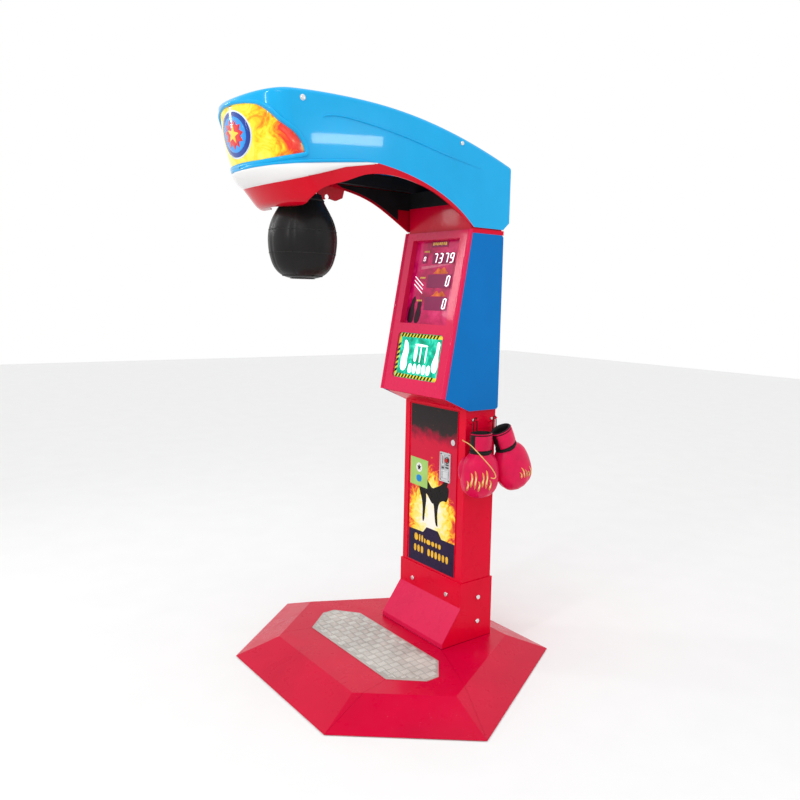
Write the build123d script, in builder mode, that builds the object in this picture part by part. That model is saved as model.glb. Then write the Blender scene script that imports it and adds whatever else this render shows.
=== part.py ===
"""Boxing punch machine: hexagonal base, door column, leaning score cabinet, hollow punch hood.

Millimetres.  +Z up, the player stands on the -Y side, +X is the player's right.
The origin is on the floor, under the middle of the machine's bounding box.
"""
from build123d import *
from math import atan2, cos, degrees, hypot, pi, radians, sin, sqrt, tan
import os

os.makedirs("parts", exist_ok=True)

# ---------------------------------------------------------------- driving dimensions
BASE_HALF_WIDTH = 700.0      # half the hexagon's width, corner to corner
BASE_EDGE_HALF = 348.0       # half the front and the rear edge
BASE_FRONT_Y = -445.0
BASE_SIDE_Y = -35.0          # the two side corners
BASE_REAR_Y = 620.3
BASE_TOP = 70.0              # height of the walking surface
SKIRT_BOTTOM = 3.0
SLOPE_RUN = 154.0            # plan width of the sloping border
SHEET = 3.0                  # folded base and door sheet
FOOT_HEIGHT = 14.0
FRAME_TOP = 66.0

COL_HALF = 200.0             # column, half width
COL_FRONT = 262.0
COL_REAR = 419.0
COL_WALL = 2.5
COL_BOTTOM = 78.0
COL_TOP = 1880.0

BOOT_TOP = 316.0
BOOT_WALL = 4.6
KICK_TOP = 214.0             # upper edge of the sloping kick panel
KICK_FRONT = 166.0           # its lower edge, in Y
KICK_FOOT = 90.0

DOOR_HALF = 157.0
DOOR_BOTTOM = 326.0
DOOR_TOP = 1007.0
DOOR_GAP = 0.4               # door leaf to column face
KNUCKLE_R = 4.0
PIN_R = 1.5
RUN_CLEAR = 0.05             # radial clearance of a running fit

CAB_HALF = 211.0             # outer faces of the blue side panels
CAB_TOP = 1700.0
CAB_FRONT_TOP = (262.0, 1711.0)      # (y, z) of the bezel line's upper end
CAB_FRONT_BOTTOM = (147.0, 1067.0)
CAB_FLOOR_Z = 1014.0
CAB_SIDE_T = 3.0

HEAD_HALF = 212.0            # outer half width of the hood
HEAD_WALL = 5.0
HEAD_REAR = 446.0
NOSE_DEPTH = 118.0           # plan depth of the elliptical nose
JAW_BOTTOM = 1741.0
JAW_ROUND = 46.0

PIVOT_Y = -346.0             # axis of the swinging ball, along X
PIVOT_Z = 1870.0
SHAFT_R = 12.5
BALL_R = 120.0
BALL_CENTRE_Z = 1635.0


# ---------------------------------------------------------------- helpers
def save(builder, name):
    """Label a finished sub-part and write it as its own STEP file."""
    builder.part.label = name
    export_step(builder.part, f"parts/{name}.step")


def front(y):
    """A plane facing the player at the given Y: local x is X, local y is Z, outwards is -Y."""
    return Plane.XZ.offset(-y)


def side(x):
    """A plane square to X: local x is Y, local y is Z, outwards is +X."""
    return Plane.YZ.offset(x)


def level(z):
    return Plane.XY.offset(z)


def polygon(points, plane):
    """A filled outline through the points, as a sketch on the plane."""
    with BuildSketch(plane) as sketch:
        with BuildLine():
            Polyline(*points, close=True)
        make_face()
    return sketch.sketch


def prism(points, plane, amount, mode=Mode.ADD):
    """The outline on the plane, pushed out along the plane's normal, inside the current part."""
    extrude(polygon(points, plane), amount=amount, mode=mode)


def block(x0, x1, y0, y1, z0, z1, mode=Mode.ADD):
    """An axis-aligned box between two corners, inside the current part."""
    with Locations(((x0 + x1) / 2, (y0 + y1) / 2, (z0 + z1) / 2)):
        Box(x1 - x0, y1 - y0, z1 - z0, mode=mode)


def rod_x(y, z, radius, x0, x1, mode=Mode.ADD):
    """A cylinder along X, inside the current part."""
    with Locations(((x0 + x1) / 2, y, z)):
        Cylinder(radius, x1 - x0, rotation=(0, 90, 0), mode=mode)


def rod_y(x, z, radius, y0, y1, mode=Mode.ADD):
    """A cylinder along Y, inside the current part."""
    with Locations((x, (y0 + y1) / 2, z)):
        Cylinder(radius, y1 - y0, rotation=(90, 0, 0), mode=mode)


def rod_z(x, y, radius, z0, z1, mode=Mode.ADD):
    """A cylinder along Z, inside the current part."""
    with Locations((x, y, (z0 + z1) / 2)):
        Cylinder(radius, z1 - z0, mode=mode)


def inset(points, distance):
    """Move every edge of a convex outline inwards (the points run anticlockwise)."""
    moved = []
    count = len(points)
    for i in range(count):
        (ax, ay), (bx, by), (cx, cy) = points[i - 1], points[i], points[(i + 1) % count]
        ux, uy = (bx - ax) / hypot(bx - ax, by - ay), (by - ay) / hypot(bx - ax, by - ay)
        vx, vy = (cx - bx) / hypot(cx - bx, cy - by), (cy - by) / hypot(cx - bx, cy - by)
        scale = distance / (1 + ux * vx + uy * vy)
        moved.append((bx + scale * (-uy - vy), by + scale * (ux + vx)))
    return moved


# ---------------------------------------------------------------- base
HEXAGON = [
    (-BASE_EDGE_HALF, BASE_FRONT_Y), (BASE_EDGE_HALF, BASE_FRONT_Y), (BASE_HALF_WIDTH, BASE_SIDE_Y),
    (BASE_EDGE_HALF, BASE_REAR_Y), (-BASE_EDGE_HALF, BASE_REAR_Y), (-BASE_HALF_WIDTH, BASE_SIDE_Y),
]
SLOPE_RISE = BASE_TOP - SKIRT_BOTTOM
RUN_PER_MM = SLOPE_RUN / SLOPE_RISE
SKIN_RUN = SHEET * sqrt(1 + RUN_PER_MM ** 2)     # the sheet's thickness, measured level
# where the mitre seams end: under the tread plate and beside the boot
HUB = [(-240, -25), (240, -25), (207, KICK_FRONT - 1), (206, COL_REAR + 6), (-206, COL_REAR + 6),
       (-207, KICK_FRONT - 1)]
MITRE_GAP = 0.4
TREAD = [(-270, -145), (270, -145), (370, -35), (370, 20), (275, 95), (-275, 95), (-370, 20), (-370, -35)]


def base_tray():
    """The whole folded top: sloping border and flat, as one open-bottomed tray."""
    outside = [polygon(inset(HEXAGON, run), level(z)) for z, run in ((SKIRT_BOTTOM, 0),
                                                                     (BASE_TOP, SLOPE_RUN))]
    loft(outside, ruled=True)
    inside = [polygon(inset(HEXAGON, SKIN_RUN + (z - SKIRT_BOTTOM) * RUN_PER_MM), level(z))
              for z in (SKIRT_BOTTOM - 2, BASE_TOP - SHEET)]
    loft(inside, ruled=True, mode=Mode.SUBTRACT)


def mitre(outline):
    """Keep only the part of the tray over one mitred outline, a saw's width short of it."""
    with BuildSketch(level(0)) as sketch:
        with BuildLine():
            Polyline(*outline, close=True)
        make_face()
        offset(amount=-MITRE_GAP, kind=Kind.INTERSECTION, mode=Mode.REPLACE)
    extrude(sketch.sketch, amount=BASE_TOP + 1, mode=Mode.INTERSECT)


with BuildPart() as base_panel_front:
    base_tray()
    mitre([HEXAGON[0], HEXAGON[1], HUB[1], HUB[2], HUB[5], HUB[0]])
save(base_panel_front, "base_panel_front")

with BuildPart() as base_panel_rear:
    base_tray()
    mitre([HEXAGON[3], HEXAGON[4], HUB[4], HUB[3]])
save(base_panel_rear, "base_panel_rear")

with BuildPart() as front_side_panel:
    base_tray()
    mitre([HEXAGON[1], HEXAGON[2], HUB[2], HUB[1]])
with BuildPart() as base_panels_front_side:
    add(front_side_panel.part)
    mirror(front_side_panel.part, about=Plane.YZ)
save(base_panels_front_side, "base_panels_front_side")

with BuildPart() as rear_side_panel:
    base_tray()
    mitre([HEXAGON[2], HEXAGON[3], HUB[3], HUB[2]])
with BuildPart() as base_panels_rear_side:
    add(rear_side_panel.part)
    mirror(rear_side_panel.part, about=Plane.YZ)
save(base_panels_rear_side, "base_panels_rear_side")

# the welded frame under the panels: a ring of mitred C-section bars and upright ribs that carry the column
RING_OUTER = 176.0
RING_WIDTH = 40.0
RIB_T = 8.0
RIBS_X = (-150.0, 150.0)
RIBS_Y = (-150.0, 70.0, 270.0, 412.0)

FRAME_DEPTH = FRAME_TOP - FOOT_HEIGHT

WELD_GAP = 0.3               # the ribs are separate bars, each a hair short of what it's welded to

with BuildPart() as ribs:
    for x in RIBS_X:
        block(x - RIB_T / 2, x + RIB_T / 2, BASE_FRONT_Y, BASE_REAR_Y, FOOT_HEIGHT, FRAME_TOP)
    joined = RIB_T / 2 + WELD_GAP
    for y in RIBS_Y:
        for x0, x1 in ((-BASE_HALF_WIDTH, RIBS_X[0] - joined), (RIBS_X[0] + joined, RIBS_X[1] - joined),
                       (RIBS_X[1] + joined, BASE_HALF_WIDTH)):
            block(x0, x1, y - RIB_T / 2, y + RIB_T / 2, FOOT_HEIGHT, FRAME_TOP)
    prism(inset(HEXAGON, RING_OUTER + RING_WIDTH + WELD_GAP), level(FOOT_HEIGHT), FRAME_DEPTH, Mode.INTERSECT)

with BuildPart() as base_frame:
    prism(inset(HEXAGON, RING_OUTER), level(FOOT_HEIGHT), FRAME_DEPTH)
    prism(inset(HEXAGON, RING_OUTER + RING_WIDTH), level(FOOT_HEIGHT), FRAME_DEPTH, Mode.SUBTRACT)
    prism(inset(HEXAGON, RING_OUTER + SHEET), level(FOOT_HEIGHT + SHEET), FRAME_DEPTH - 2 * SHEET,
          Mode.SUBTRACT)
    mitres = zip(inset(HEXAGON, RING_OUTER - 1), inset(HEXAGON, RING_OUTER + RING_WIDTH + 1))
    for outer, inner in mitres:
        across = Vector(inner[1] - outer[1], outer[0] - inner[0], 0).normalized() * (WELD_GAP / 2)
        cut = [(outer[0] + across.X, outer[1] + across.Y), (inner[0] + across.X, inner[1] + across.Y),
               (inner[0] - across.X, inner[1] - across.Y), (outer[0] - across.X, outer[1] - across.Y)]
        prism(cut, level(FOOT_HEIGHT - 1), FRAME_DEPTH + 2, Mode.SUBTRACT)
    add(ribs.part)
save(base_frame, "base_frame")

FOOT_R = 30.0
with BuildPart() as base_feet:
    for x, y in inset(HEXAGON, RING_OUTER + RING_WIDTH / 2):
        rod_z(x, y, FOOT_R, 0, FOOT_HEIGHT)
    fillet(base_feet.edges().group_by(Axis.Z)[0], 3)
save(base_feet, "base_feet")

# tread plate where the player stands, with a row of countersunk screws along each long edge
TREAD_T = 3.0
TREAD_SCREWS = [(x, y) for y in (-133.0, 83.0) for x in (-215.0, 0.0, 215.0)]
TREAD_SCREW_R = 5.0

with BuildPart() as tread_plate:
    prism(TREAD, level(BASE_TOP), TREAD_T)
    chamfer(tread_plate.edges().group_by(Axis.Z)[-1], 0.8)
    for x, y in TREAD_SCREWS:
        rod_z(x, y, TREAD_SCREW_R + 0.3, BASE_TOP - 1, BASE_TOP + TREAD_T + 1, Mode.SUBTRACT)
save(tread_plate, "tread_plate")

with BuildPart() as tread_screws:
    for x, y in TREAD_SCREWS:
        rod_z(x, y, TREAD_SCREW_R, BASE_TOP + 0.2, BASE_TOP + TREAD_T + 0.8)
save(tread_screws, "tread_screws")

# ---------------------------------------------------------------- column
SHELF_Z = 345.0
OPEN_HALF = 143.0            # door opening in the column's front
CAB_OPEN_HALF = 180.0
CAB_OPEN = (1080.0, 1697.0)  # opening from the column into the score cabinet
REAR_OPEN = (1096.0, 1644.0)
INLET = (0.0, 400.0, 24.0, 14.0)     # x, z, half width, half height of the mains inlet
BOOT_BOLTS_X = 114.0
BOOT_BOLT_FRONT_Z = 246.0
BOOT_BOLT_SIDE_Y = 349.0
BOOT_BOLT_SIDE_Z = (142.0, 243.0)

with BuildPart() as foot_plate:
    block(-COL_HALF, COL_HALF, COL_FRONT, COL_REAR, FRAME_TOP, COL_BOTTOM)
    for x in (-160, 160):
        for y in (282, 400):
            rod_z(x, y, 9, COL_BOTTOM, COL_BOTTOM + 8)
save(foot_plate, "foot_plate")

with BuildPart() as column_post:
    block(-COL_HALF, COL_HALF, COL_FRONT, COL_REAR, COL_BOTTOM, COL_TOP)
    fillet(column_post.edges().filter_by(Axis.Z), 3)
    block(-COL_HALF + COL_WALL, COL_HALF - COL_WALL, COL_FRONT + COL_WALL, COL_REAR - COL_WALL,
          COL_BOTTOM - 1, COL_TOP + 1, Mode.SUBTRACT)
    block(-OPEN_HALF, OPEN_HALF, COL_FRONT - 1, COL_FRONT + COL_WALL + 1, 340, 993, Mode.SUBTRACT)
    block(-CAB_OPEN_HALF, CAB_OPEN_HALF, COL_FRONT - 1, COL_FRONT + COL_WALL + 1, *CAB_OPEN, Mode.SUBTRACT)
    block(-OPEN_HALF, OPEN_HALF, COL_REAR - COL_WALL - 1, COL_REAR + 1, *REAR_OPEN, Mode.SUBTRACT)
    block(INLET[0] - INLET[2], INLET[0] + INLET[2], COL_REAR - COL_WALL - 1, COL_REAR + 1,
          INLET[1] - INLET[3], INLET[1] + INLET[3], Mode.SUBTRACT)
    block(-COL_HALF + COL_WALL, COL_HALF - COL_WALL, COL_FRONT + COL_WALL, COL_REAR - COL_WALL,
          SHELF_Z, SHELF_Z + SHEET)
save(column_post, "column_post")

BOOT_HALF = COL_HALF + 0.4 + BOOT_WALL
BOOT_FRONT = COL_FRONT - 0.4 - BOOT_WALL
BOOT_REAR = COL_REAR + 0.4 + BOOT_WALL
BOOT_BOLT_R = 5.0
KICK_SLOPE = atan2(KICK_TOP - KICK_FOOT, BOOT_FRONT - KICK_FRONT)
KICK_BACK = 3.2              # how far the boot's cheeks stop behind the kick panel's face

with BuildPart() as column_boot:
    lift = KICK_BACK / cos(KICK_SLOPE)
    prism([
        (BOOT_REAR, BASE_TOP + 0.3), (BOOT_REAR, BOOT_TOP), (BOOT_FRONT, BOOT_TOP), (BOOT_FRONT,
                                                                                     KICK_TOP - lift),
        (KICK_FRONT + KICK_BACK, KICK_FOOT - 2), (KICK_FRONT + KICK_BACK, BASE_TOP + 0.3),
    ], side(-BOOT_HALF), 2 * BOOT_HALF)
    block(-COL_HALF - 0.4, COL_HALF + 0.4, COL_FRONT - 0.4, COL_REAR + 0.4, BASE_TOP, BOOT_TOP + 1,
          Mode.SUBTRACT)
    block(-COL_HALF - 0.4, COL_HALF + 0.4, KICK_FRONT, BOOT_FRONT, BASE_TOP, KICK_TOP, Mode.SUBTRACT)
    for x in (-BOOT_BOLTS_X, BOOT_BOLTS_X):
        rod_y(x, BOOT_BOLT_FRONT_Z, BOOT_BOLT_R + 0.2, BOOT_FRONT - 1, BOOT_FRONT + BOOT_WALL + 0.2,
              Mode.SUBTRACT)
    for z in BOOT_BOLT_SIDE_Z:
        rod_x(BOOT_BOLT_SIDE_Y, z, BOOT_BOLT_R + 0.2, -BOOT_HALF - 1, -COL_HALF - 0.1, Mode.SUBTRACT)
        rod_x(BOOT_BOLT_SIDE_Y, z, BOOT_BOLT_R + 0.2, COL_HALF + 0.1, BOOT_HALF + 1, Mode.SUBTRACT)
save(column_boot, "column_boot")

with BuildPart() as kick_panel:
    prism([
        (BOOT_FRONT - 0.2, KICK_TOP + 1), (KICK_FRONT, KICK_FOOT), (KICK_FRONT, BASE_TOP + 0.4),
        (KICK_FRONT + SHEET, BASE_TOP + 0.4), (KICK_FRONT + SHEET, KICK_FOOT - 1.2),
        (BOOT_FRONT - 0.2, KICK_TOP + 1 - SHEET / cos(KICK_SLOPE)),
    ], side(-BOOT_HALF), 2 * BOOT_HALF)
save(kick_panel, "kick_panel")


def bolt(head_r, head_height, shank_r, shank):
    """A bolt standing on the origin: its rounded head upwards, its shank below."""
    with BuildPart() as body:
        rod_z(0, 0, head_r, 0, head_height)
        fillet(body.edges().group_by(Axis.Z)[-1], head_height * 0.6)
        rod_z(0, 0, shank_r, -shank, 0)
    return body.part


BOLT_HEAD_R = 10.0
boot_bolt = bolt(BOLT_HEAD_R, 5.0, BOOT_BOLT_R, 4.0)

with BuildPart() as boot_bolts:
    places = [Location((x, BOOT_FRONT, BOOT_BOLT_FRONT_Z), (90, 0, 0)) for x in (-BOOT_BOLTS_X, BOOT_BOLTS_X)]
    for z in BOOT_BOLT_SIDE_Z:
        places.append(Location((BOOT_HALF, BOOT_BOLT_SIDE_Y, z), (0, 90, 0)))
        places.append(Location((-BOOT_HALF, BOOT_BOLT_SIDE_Y, z), (0, -90, 0)))
    for place in places:
        add(boot_bolt.moved(place))
save(boot_bolts, "boot_bolts")

# ---------------------------------------------------------------- coin door
HINGE_X = -DOOR_HALF - KNUCKLE_R
HINGE_Y = COL_FRONT - KNUCKLE_R
LEAF_BACK = COL_FRONT - DOOR_GAP
LEAF_FRONT = LEAF_BACK - SHEET
KNUCKLES = 7
KNUCKLE_GAP = 1.0

LOCK_X = 133.0
LOCK_Z = 878.0
LOCK_R = 9.0
COIN_X = (52.0, 120.0)       # coin plate, left and right edge
COIN_Z = (709.0, 831.0)
CUP_X = (68.0, 104.0)        # coin return cup
CUP_Z = (724.0, 753.0)
CUP_DEPTH = 36.0
MECH_X = (62.0, 110.0)
MECH_Z = (719.0, 824.0)
MECH_BACK = 328.0
SLOT_X = 74.0
BUTTON = (98.0, 800.0)       # x, z of the reject button
BUTTON_R = 8.0
PLATE_FRONT = LEAF_FRONT - SHEET
FLAP_AXIS = (PLATE_FRONT + 1.5, CUP_Z[1] - 2.0)      # (y, z) of the return flap's pivot


def knuckle_spans(bottom, top):
    """The hinge's knuckles from bottom to top, as (z0, z1)."""
    pitch = (top - bottom) / KNUCKLES
    return [(bottom + i * pitch + KNUCKLE_GAP / 2, bottom + (i + 1) * pitch - KNUCKLE_GAP / 2)
            for i in range(KNUCKLES)]


def hinge_leaf(bottom, top, knuckle_y, foot_y):
    """Knuckles fixed to the column with the pin through them; foot_y is the column's face."""
    spans = knuckle_spans(bottom, top)
    rod_z(HINGE_X, knuckle_y, PIN_R, spans[0][0], spans[-1][1])
    for z0, z1 in spans[0::2]:
        rod_z(HINGE_X, knuckle_y, KNUCKLE_R, z0, z1)
        block(HINGE_X - KNUCKLE_R, HINGE_X - 1, min(knuckle_y, foot_y), max(knuckle_y, foot_y), z0, z1)


def door_knuckles(bottom, top, knuckle_y, leaf_y):
    """The leaf's own knuckles; leaf_y spans its sheet.  The pin's bore is cut last."""
    for z0, z1 in knuckle_spans(bottom, top)[1::2]:
        rod_z(HINGE_X, knuckle_y, KNUCKLE_R, z0, z1)
        block(HINGE_X + 1.5, -DOOR_HALF + 3, *leaf_y, z0, z1)
    rod_z(HINGE_X, knuckle_y, PIN_R + RUN_CLEAR, bottom - 1, top + 1, Mode.SUBTRACT)


with BuildPart() as door_hinge:
    hinge_leaf(DOOR_BOTTOM, DOOR_TOP, HINGE_Y, COL_FRONT)
save(door_hinge, "door_hinge")

with BuildPart() as coin_door:
    block(-DOOR_HALF + 2, DOOR_HALF, LEAF_FRONT, LEAF_BACK, DOOR_BOTTOM, DOOR_TOP)
    block(-OPEN_HALF + 12, OPEN_HALF - 4, LEAF_BACK, LEAF_BACK + 9, 352, 355)
    block(-OPEN_HALF + 12, OPEN_HALF - 4, LEAF_BACK, LEAF_BACK + 9, 978, 981)
    door_knuckles(DOOR_BOTTOM, DOOR_TOP, HINGE_Y, (LEAF_FRONT, LEAF_BACK))
    rod_y(LOCK_X, LOCK_Z, LOCK_R + RUN_CLEAR, LEAF_FRONT - 1, LEAF_BACK + 1, Mode.SUBTRACT)
    block(*MECH_X, LEAF_FRONT - 1, LEAF_BACK + 1, *MECH_Z, Mode.SUBTRACT)
save(coin_door, "coin_door")


def cam_lock(z, face_y, inward):
    """A cam lock through a door: head outside, barrel, and a cam that hangs down when unlocked.

    face_y is the door's outer face and inward is +1 or -1, the way into the machine along Y.
    """
    def span(near, far):
        return sorted((face_y + near * inward, face_y + far * inward))

    rod_y(LOCK_X, z, LOCK_R + 3, *span(-3.5, -0.2))
    rod_y(LOCK_X, z, LOCK_R, *span(-0.3, 15))
    block(LOCK_X - 8, LOCK_X + 8, *span(9.5, 12.5), z - 26, z)
    block(LOCK_X - 1, LOCK_X + 1, *span(-4, -2), z - 4.5, z + 4.5, Mode.SUBTRACT)


with BuildPart() as door_lock:
    cam_lock(LOCK_Z, LEAF_FRONT, 1)
save(door_lock, "door_lock")

with BuildPart() as coin_faceplate:
    block(*COIN_X, PLATE_FRONT, LEAF_FRONT, *COIN_Z)
    fillet(coin_faceplate.edges().filter_by(Axis.Y), 5)
    chamfer(coin_faceplate.faces().sort_by(Axis.Y)[0].edges(), 0.9)
    block(SLOT_X - 2.2, SLOT_X + 2.2, PLATE_FRONT - 1, LEAF_FRONT + 1, 784, 816, Mode.SUBTRACT)
    rod_y(*BUTTON, BUTTON_R + 0.2, PLATE_FRONT - 1, LEAF_FRONT + 1, Mode.SUBTRACT)
    block(*CUP_X, PLATE_FRONT - 1, LEAF_FRONT + 1, *CUP_Z, Mode.SUBTRACT)
    rod_x(*FLAP_AXIS, 0.85, CUP_X[0] - 2, CUP_X[1] + 2, Mode.SUBTRACT)
save(coin_faceplate, "coin_faceplate")

with BuildPart() as coin_mech:
    block(MECH_X[0] + 0.4, MECH_X[1] - 0.4, LEAF_FRONT, MECH_BACK, MECH_Z[0] + 0.4, MECH_Z[1] - 0.4)
    block(*CUP_X, LEAF_FRONT - 1, LEAF_FRONT + CUP_DEPTH, *CUP_Z, Mode.SUBTRACT)
    block(SLOT_X - 2.2, SLOT_X + 2.2, LEAF_FRONT - 1, MECH_BACK - 12, 784, 816, Mode.SUBTRACT)
    rod_y(*BUTTON, BUTTON_R + 0.4, LEAF_FRONT - 1, LEAF_FRONT + 14, Mode.SUBTRACT)
save(coin_mech, "coin_mech")

with BuildPart() as reject_button:
    rod_y(*BUTTON, BUTTON_R, PLATE_FRONT - 6, LEAF_FRONT + 8)
    fillet(reject_button.edges().sort_by(Axis.Y)[0], 1.5)
save(reject_button, "reject_button")

with BuildPart() as return_flap:
    y, z = FLAP_AXIS
    block(CUP_X[0] + 0.5, CUP_X[1] - 0.5, y - 0.75, y + 0.75, CUP_Z[0] + 0.6, z)
    rod_x(y, z, 1.4, CUP_X[0] + 0.5, CUP_X[1] - 0.5)
    rod_x(y, z, 0.8, CUP_X[0] - 1.8, CUP_X[1] + 1.8)
save(return_flap, "return_flap")

CASH = (-112.0, 112.0, 298.0, 380.0, SHELF_Z + SHEET + 0.2, 462.0)
CASH_PULL = 20.0             # how far the cash box's handle stands off
with BuildPart() as cash_box:
    block(*CASH)
    block(CASH[0] + 2, CASH[1] - 2, CASH[2] + 2, CASH[3] - 2, CASH[4] + 2, CASH[5] + 1, Mode.SUBTRACT)
    rod_x(CASH[2] - CASH_PULL, 430, 3, -40, 40)
    for x in (-40, 34):
        block(x, x + 6, CASH[2] - CASH_PULL, CASH[2], 427, 433)
save(cash_box, "cash_box")

# ---------------------------------------------------------------- score cabinet
FLANGE = 14.0
BEZEL_RUN = CAB_FRONT_TOP[0] - CAB_FRONT_BOTTOM[0]
BEZEL_RISE = CAB_FRONT_TOP[1] - CAB_FRONT_BOTTOM[1]
SIDE_TOP_Y = CAB_FRONT_BOTTOM[0] + (CAB_TOP - CAB_FRONT_BOTTOM[1]) * BEZEL_RUN / BEZEL_RISE
SIDE_OUTLINE = [CAB_FRONT_BOTTOM, (SIDE_TOP_Y, CAB_TOP), (COL_REAR, CAB_TOP), (COL_REAR, CAB_FLOOR_Z),
                (COL_FRONT + 6, CAB_FLOOR_Z)]


def cabinet_side():
    """The right-hand side panel, with a flange turned in along its rear edge."""
    with BuildPart() as panel:
        prism(SIDE_OUTLINE, side(CAB_HALF - CAB_SIDE_T), CAB_SIDE_T)
        fillet(panel.edges().filter_by(Axis.X).group_by(Axis.Y)[-1], 12)
        block(COL_HALF + 0.4, CAB_HALF - CAB_SIDE_T, COL_REAR - 2, COL_REAR, CAB_FLOOR_Z + FLANGE,
              CAB_TOP - FLANGE)
    return panel.part


with BuildPart() as side_panel_right:
    add(cabinet_side())
save(side_panel_right, "side_panel_right")

with BuildPart() as side_panel_left:
    mirror(cabinet_side(), about=Plane.YZ)
save(side_panel_left, "side_panel_left")

FLOOR_X = CAB_HALF - CAB_SIDE_T - 0.4
with BuildPart() as cabinet_floor:
    (y0, z0), (y1, z1) = CAB_FRONT_BOTTOM, (COL_FRONT - 0.4, CAB_FLOOR_Z + 2)
    prism([(y0 + 18, z0 - 6), (y1, z1), (y1, z1 + SHEET), (y0 + 18, z0 - 6 + SHEET)], side(-FLOOR_X),
          2 * FLOOR_X)
    for x in range(-60, 61, 20):
        block(x - 2.5, x + 2.5, 190, 235, CAB_FLOOR_Z - 20, CAB_FLOOR_Z + 80, Mode.SUBTRACT)
save(cabinet_floor, "cabinet_floor")

# the bezel leans forward: local x is X, local y climbs the slope, outwards is towards the player
BEZEL_LENGTH = hypot(BEZEL_RUN, BEZEL_RISE)
BEZEL_PROUD = 9.0            # face of the bezel in front of the side panels' edges
BEZEL_BACK = 15.0            # and how far it reaches in between them
BEAD_R = 9.0                 # rounded ridge along each long edge
SCORE_WINDOW = (281.0, 623.0, 150.0)     # bottom, top, half width, along the slope
LAMP_WINDOW = (57.0, 242.0, 146.0)
LAMP_CLIP = 9.0


def bezel_plane(lift):
    """The leaning plane, lifted towards the player, with its origin at the lower edge."""
    up = Vector(0, BEZEL_RUN, BEZEL_RISE).normalized()
    out = Vector(1, 0, 0).cross(up)
    y, z = CAB_FRONT_BOTTOM
    return Plane(Vector(0, y, z) + out * lift, x_dir=(1, 0, 0), z_dir=out)


def bezel_slab(half_x, low, high, back, proud, mode=Mode.ADD):
    """A slab lying on the leaning plane, inside the current part."""
    with BuildSketch(bezel_plane(back)) as sketch:
        with Locations((0, (low + high) / 2)):
            Rectangle(2 * half_x, high - low)
    extrude(sketch.sketch, amount=proud - back, mode=mode)


def ridge(x):
    """The round ridge's section, standing on the leaning plane's lower edge."""
    base = bezel_plane(0)
    origin = base.origin + base.x_dir * x + base.z_dir * (BEZEL_PROUD - 3)
    return Plane(origin, x_dir=(1, 0, 0), z_dir=base.y_dir)


BEZEL_SKIN = 4.0             # the moulding's thickness behind its face

with BuildPart() as bezel:
    bezel_slab(CAB_HALF, 0, BEZEL_LENGTH, 0.4, BEZEL_PROUD)
    for x in (-CAB_HALF + BEAD_R, CAB_HALF - BEAD_R):
        with BuildSketch(ridge(x)) as bead:
            Circle(BEAD_R)
        extrude(bead.sketch, amount=BEZEL_LENGTH)
    bezel_slab(CAB_HALF + 20, -40, BEZEL_LENGTH + 40, -40, 0.4, Mode.SUBTRACT)
    bezel_slab(CAB_HALF + 20, -40, 0, -40, 40, Mode.SUBTRACT)
    # a folded rim that drops in between the side panels, and walls round the two windows
    bezel_slab(FLOOR_X, 4, BEZEL_LENGTH - 14, -BEZEL_BACK, 1)
    bezel_slab(FLOOR_X - BEZEL_SKIN, 4 + BEZEL_SKIN, BEZEL_LENGTH - 14 - BEZEL_SKIN, -BEZEL_BACK - 1,
               BEZEL_PROUD - BEZEL_SKIN, Mode.SUBTRACT)
    for low, high, half in (SCORE_WINDOW, LAMP_WINDOW):
        bezel_slab(half + BEZEL_SKIN, low - BEZEL_SKIN, high + BEZEL_SKIN, -BEZEL_BACK, BEZEL_PROUD)
    # the rim stops at the column, except where it enters the column's opening
    for x0, x1 in ((-CAB_HALF, -CAB_OPEN_HALF + 1), (CAB_OPEN_HALF - 1, CAB_HALF)):
        block(x0, x1, COL_FRONT - 0.4, COL_REAR, 1500, 1750, Mode.SUBTRACT)
    block(-CAB_HALF, CAB_HALF, COL_FRONT - 0.4, COL_REAR, CAB_OPEN[1] - 0.5, 1750, Mode.SUBTRACT)
    low, high, half = SCORE_WINDOW
    bezel_slab(half, low, high, -BEZEL_BACK - 1, 30, Mode.SUBTRACT)
    low, high, half = LAMP_WINDOW
    with BuildSketch(bezel_plane(-BEZEL_BACK - 1)) as lamp_hole:
        with Locations((0, (low + high) / 2)):
            Rectangle(2 * half, high - low)
        chamfer(lamp_hole.vertices(), LAMP_CLIP)
    extrude(lamp_hole.sketch, amount=50, mode=Mode.SUBTRACT)
save(bezel, "bezel")

COLLAR_BOTTOM = CAB_TOP + 0.4
COLLAR_TOP = 1717.0
with BuildPart() as cabinet_collar:
    block(-CAB_HALF + 3, CAB_HALF - 3, COL_FRONT - 1.6, COL_REAR + 3, COLLAR_BOTTOM, COLLAR_TOP)
    block(-COL_HALF - 0.4, COL_HALF + 0.4, COL_FRONT - 0.4, COL_REAR + 0.4, COLLAR_BOTTOM - 1, COLLAR_TOP + 1,
          Mode.SUBTRACT)
    bezel_slab(CAB_HALF + 20, 0, BEZEL_LENGTH + 0.4, -3, 40, Mode.SUBTRACT)
save(cabinet_collar, "cabinet_collar")

# displays behind the two windows
BOARD_T = 3.0
DIGITS_PROUD = 2.0
# every module on the board: (left, right, bottom, top) along the slope
BIG_DIGITS = [(x, x + 30, 529, 574) for x in (-29, 7, 43, 79)]
DIGIT_MODULES = BIG_DIGITS + [(-92, -66, 533, 570), (-41, 108, 432, 486), (-38, 108, 341, 394),
                              (-48, 57, 598, 622)]

with BuildPart() as score_board:
    bezel_slab(SCORE_WINDOW[2] + 15, SCORE_WINDOW[0] - 15, SCORE_WINDOW[1] + 15, -BEZEL_BACK - 0.3 - BOARD_T,
               -BEZEL_BACK - 0.3)
save(score_board, "score_board")

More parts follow.
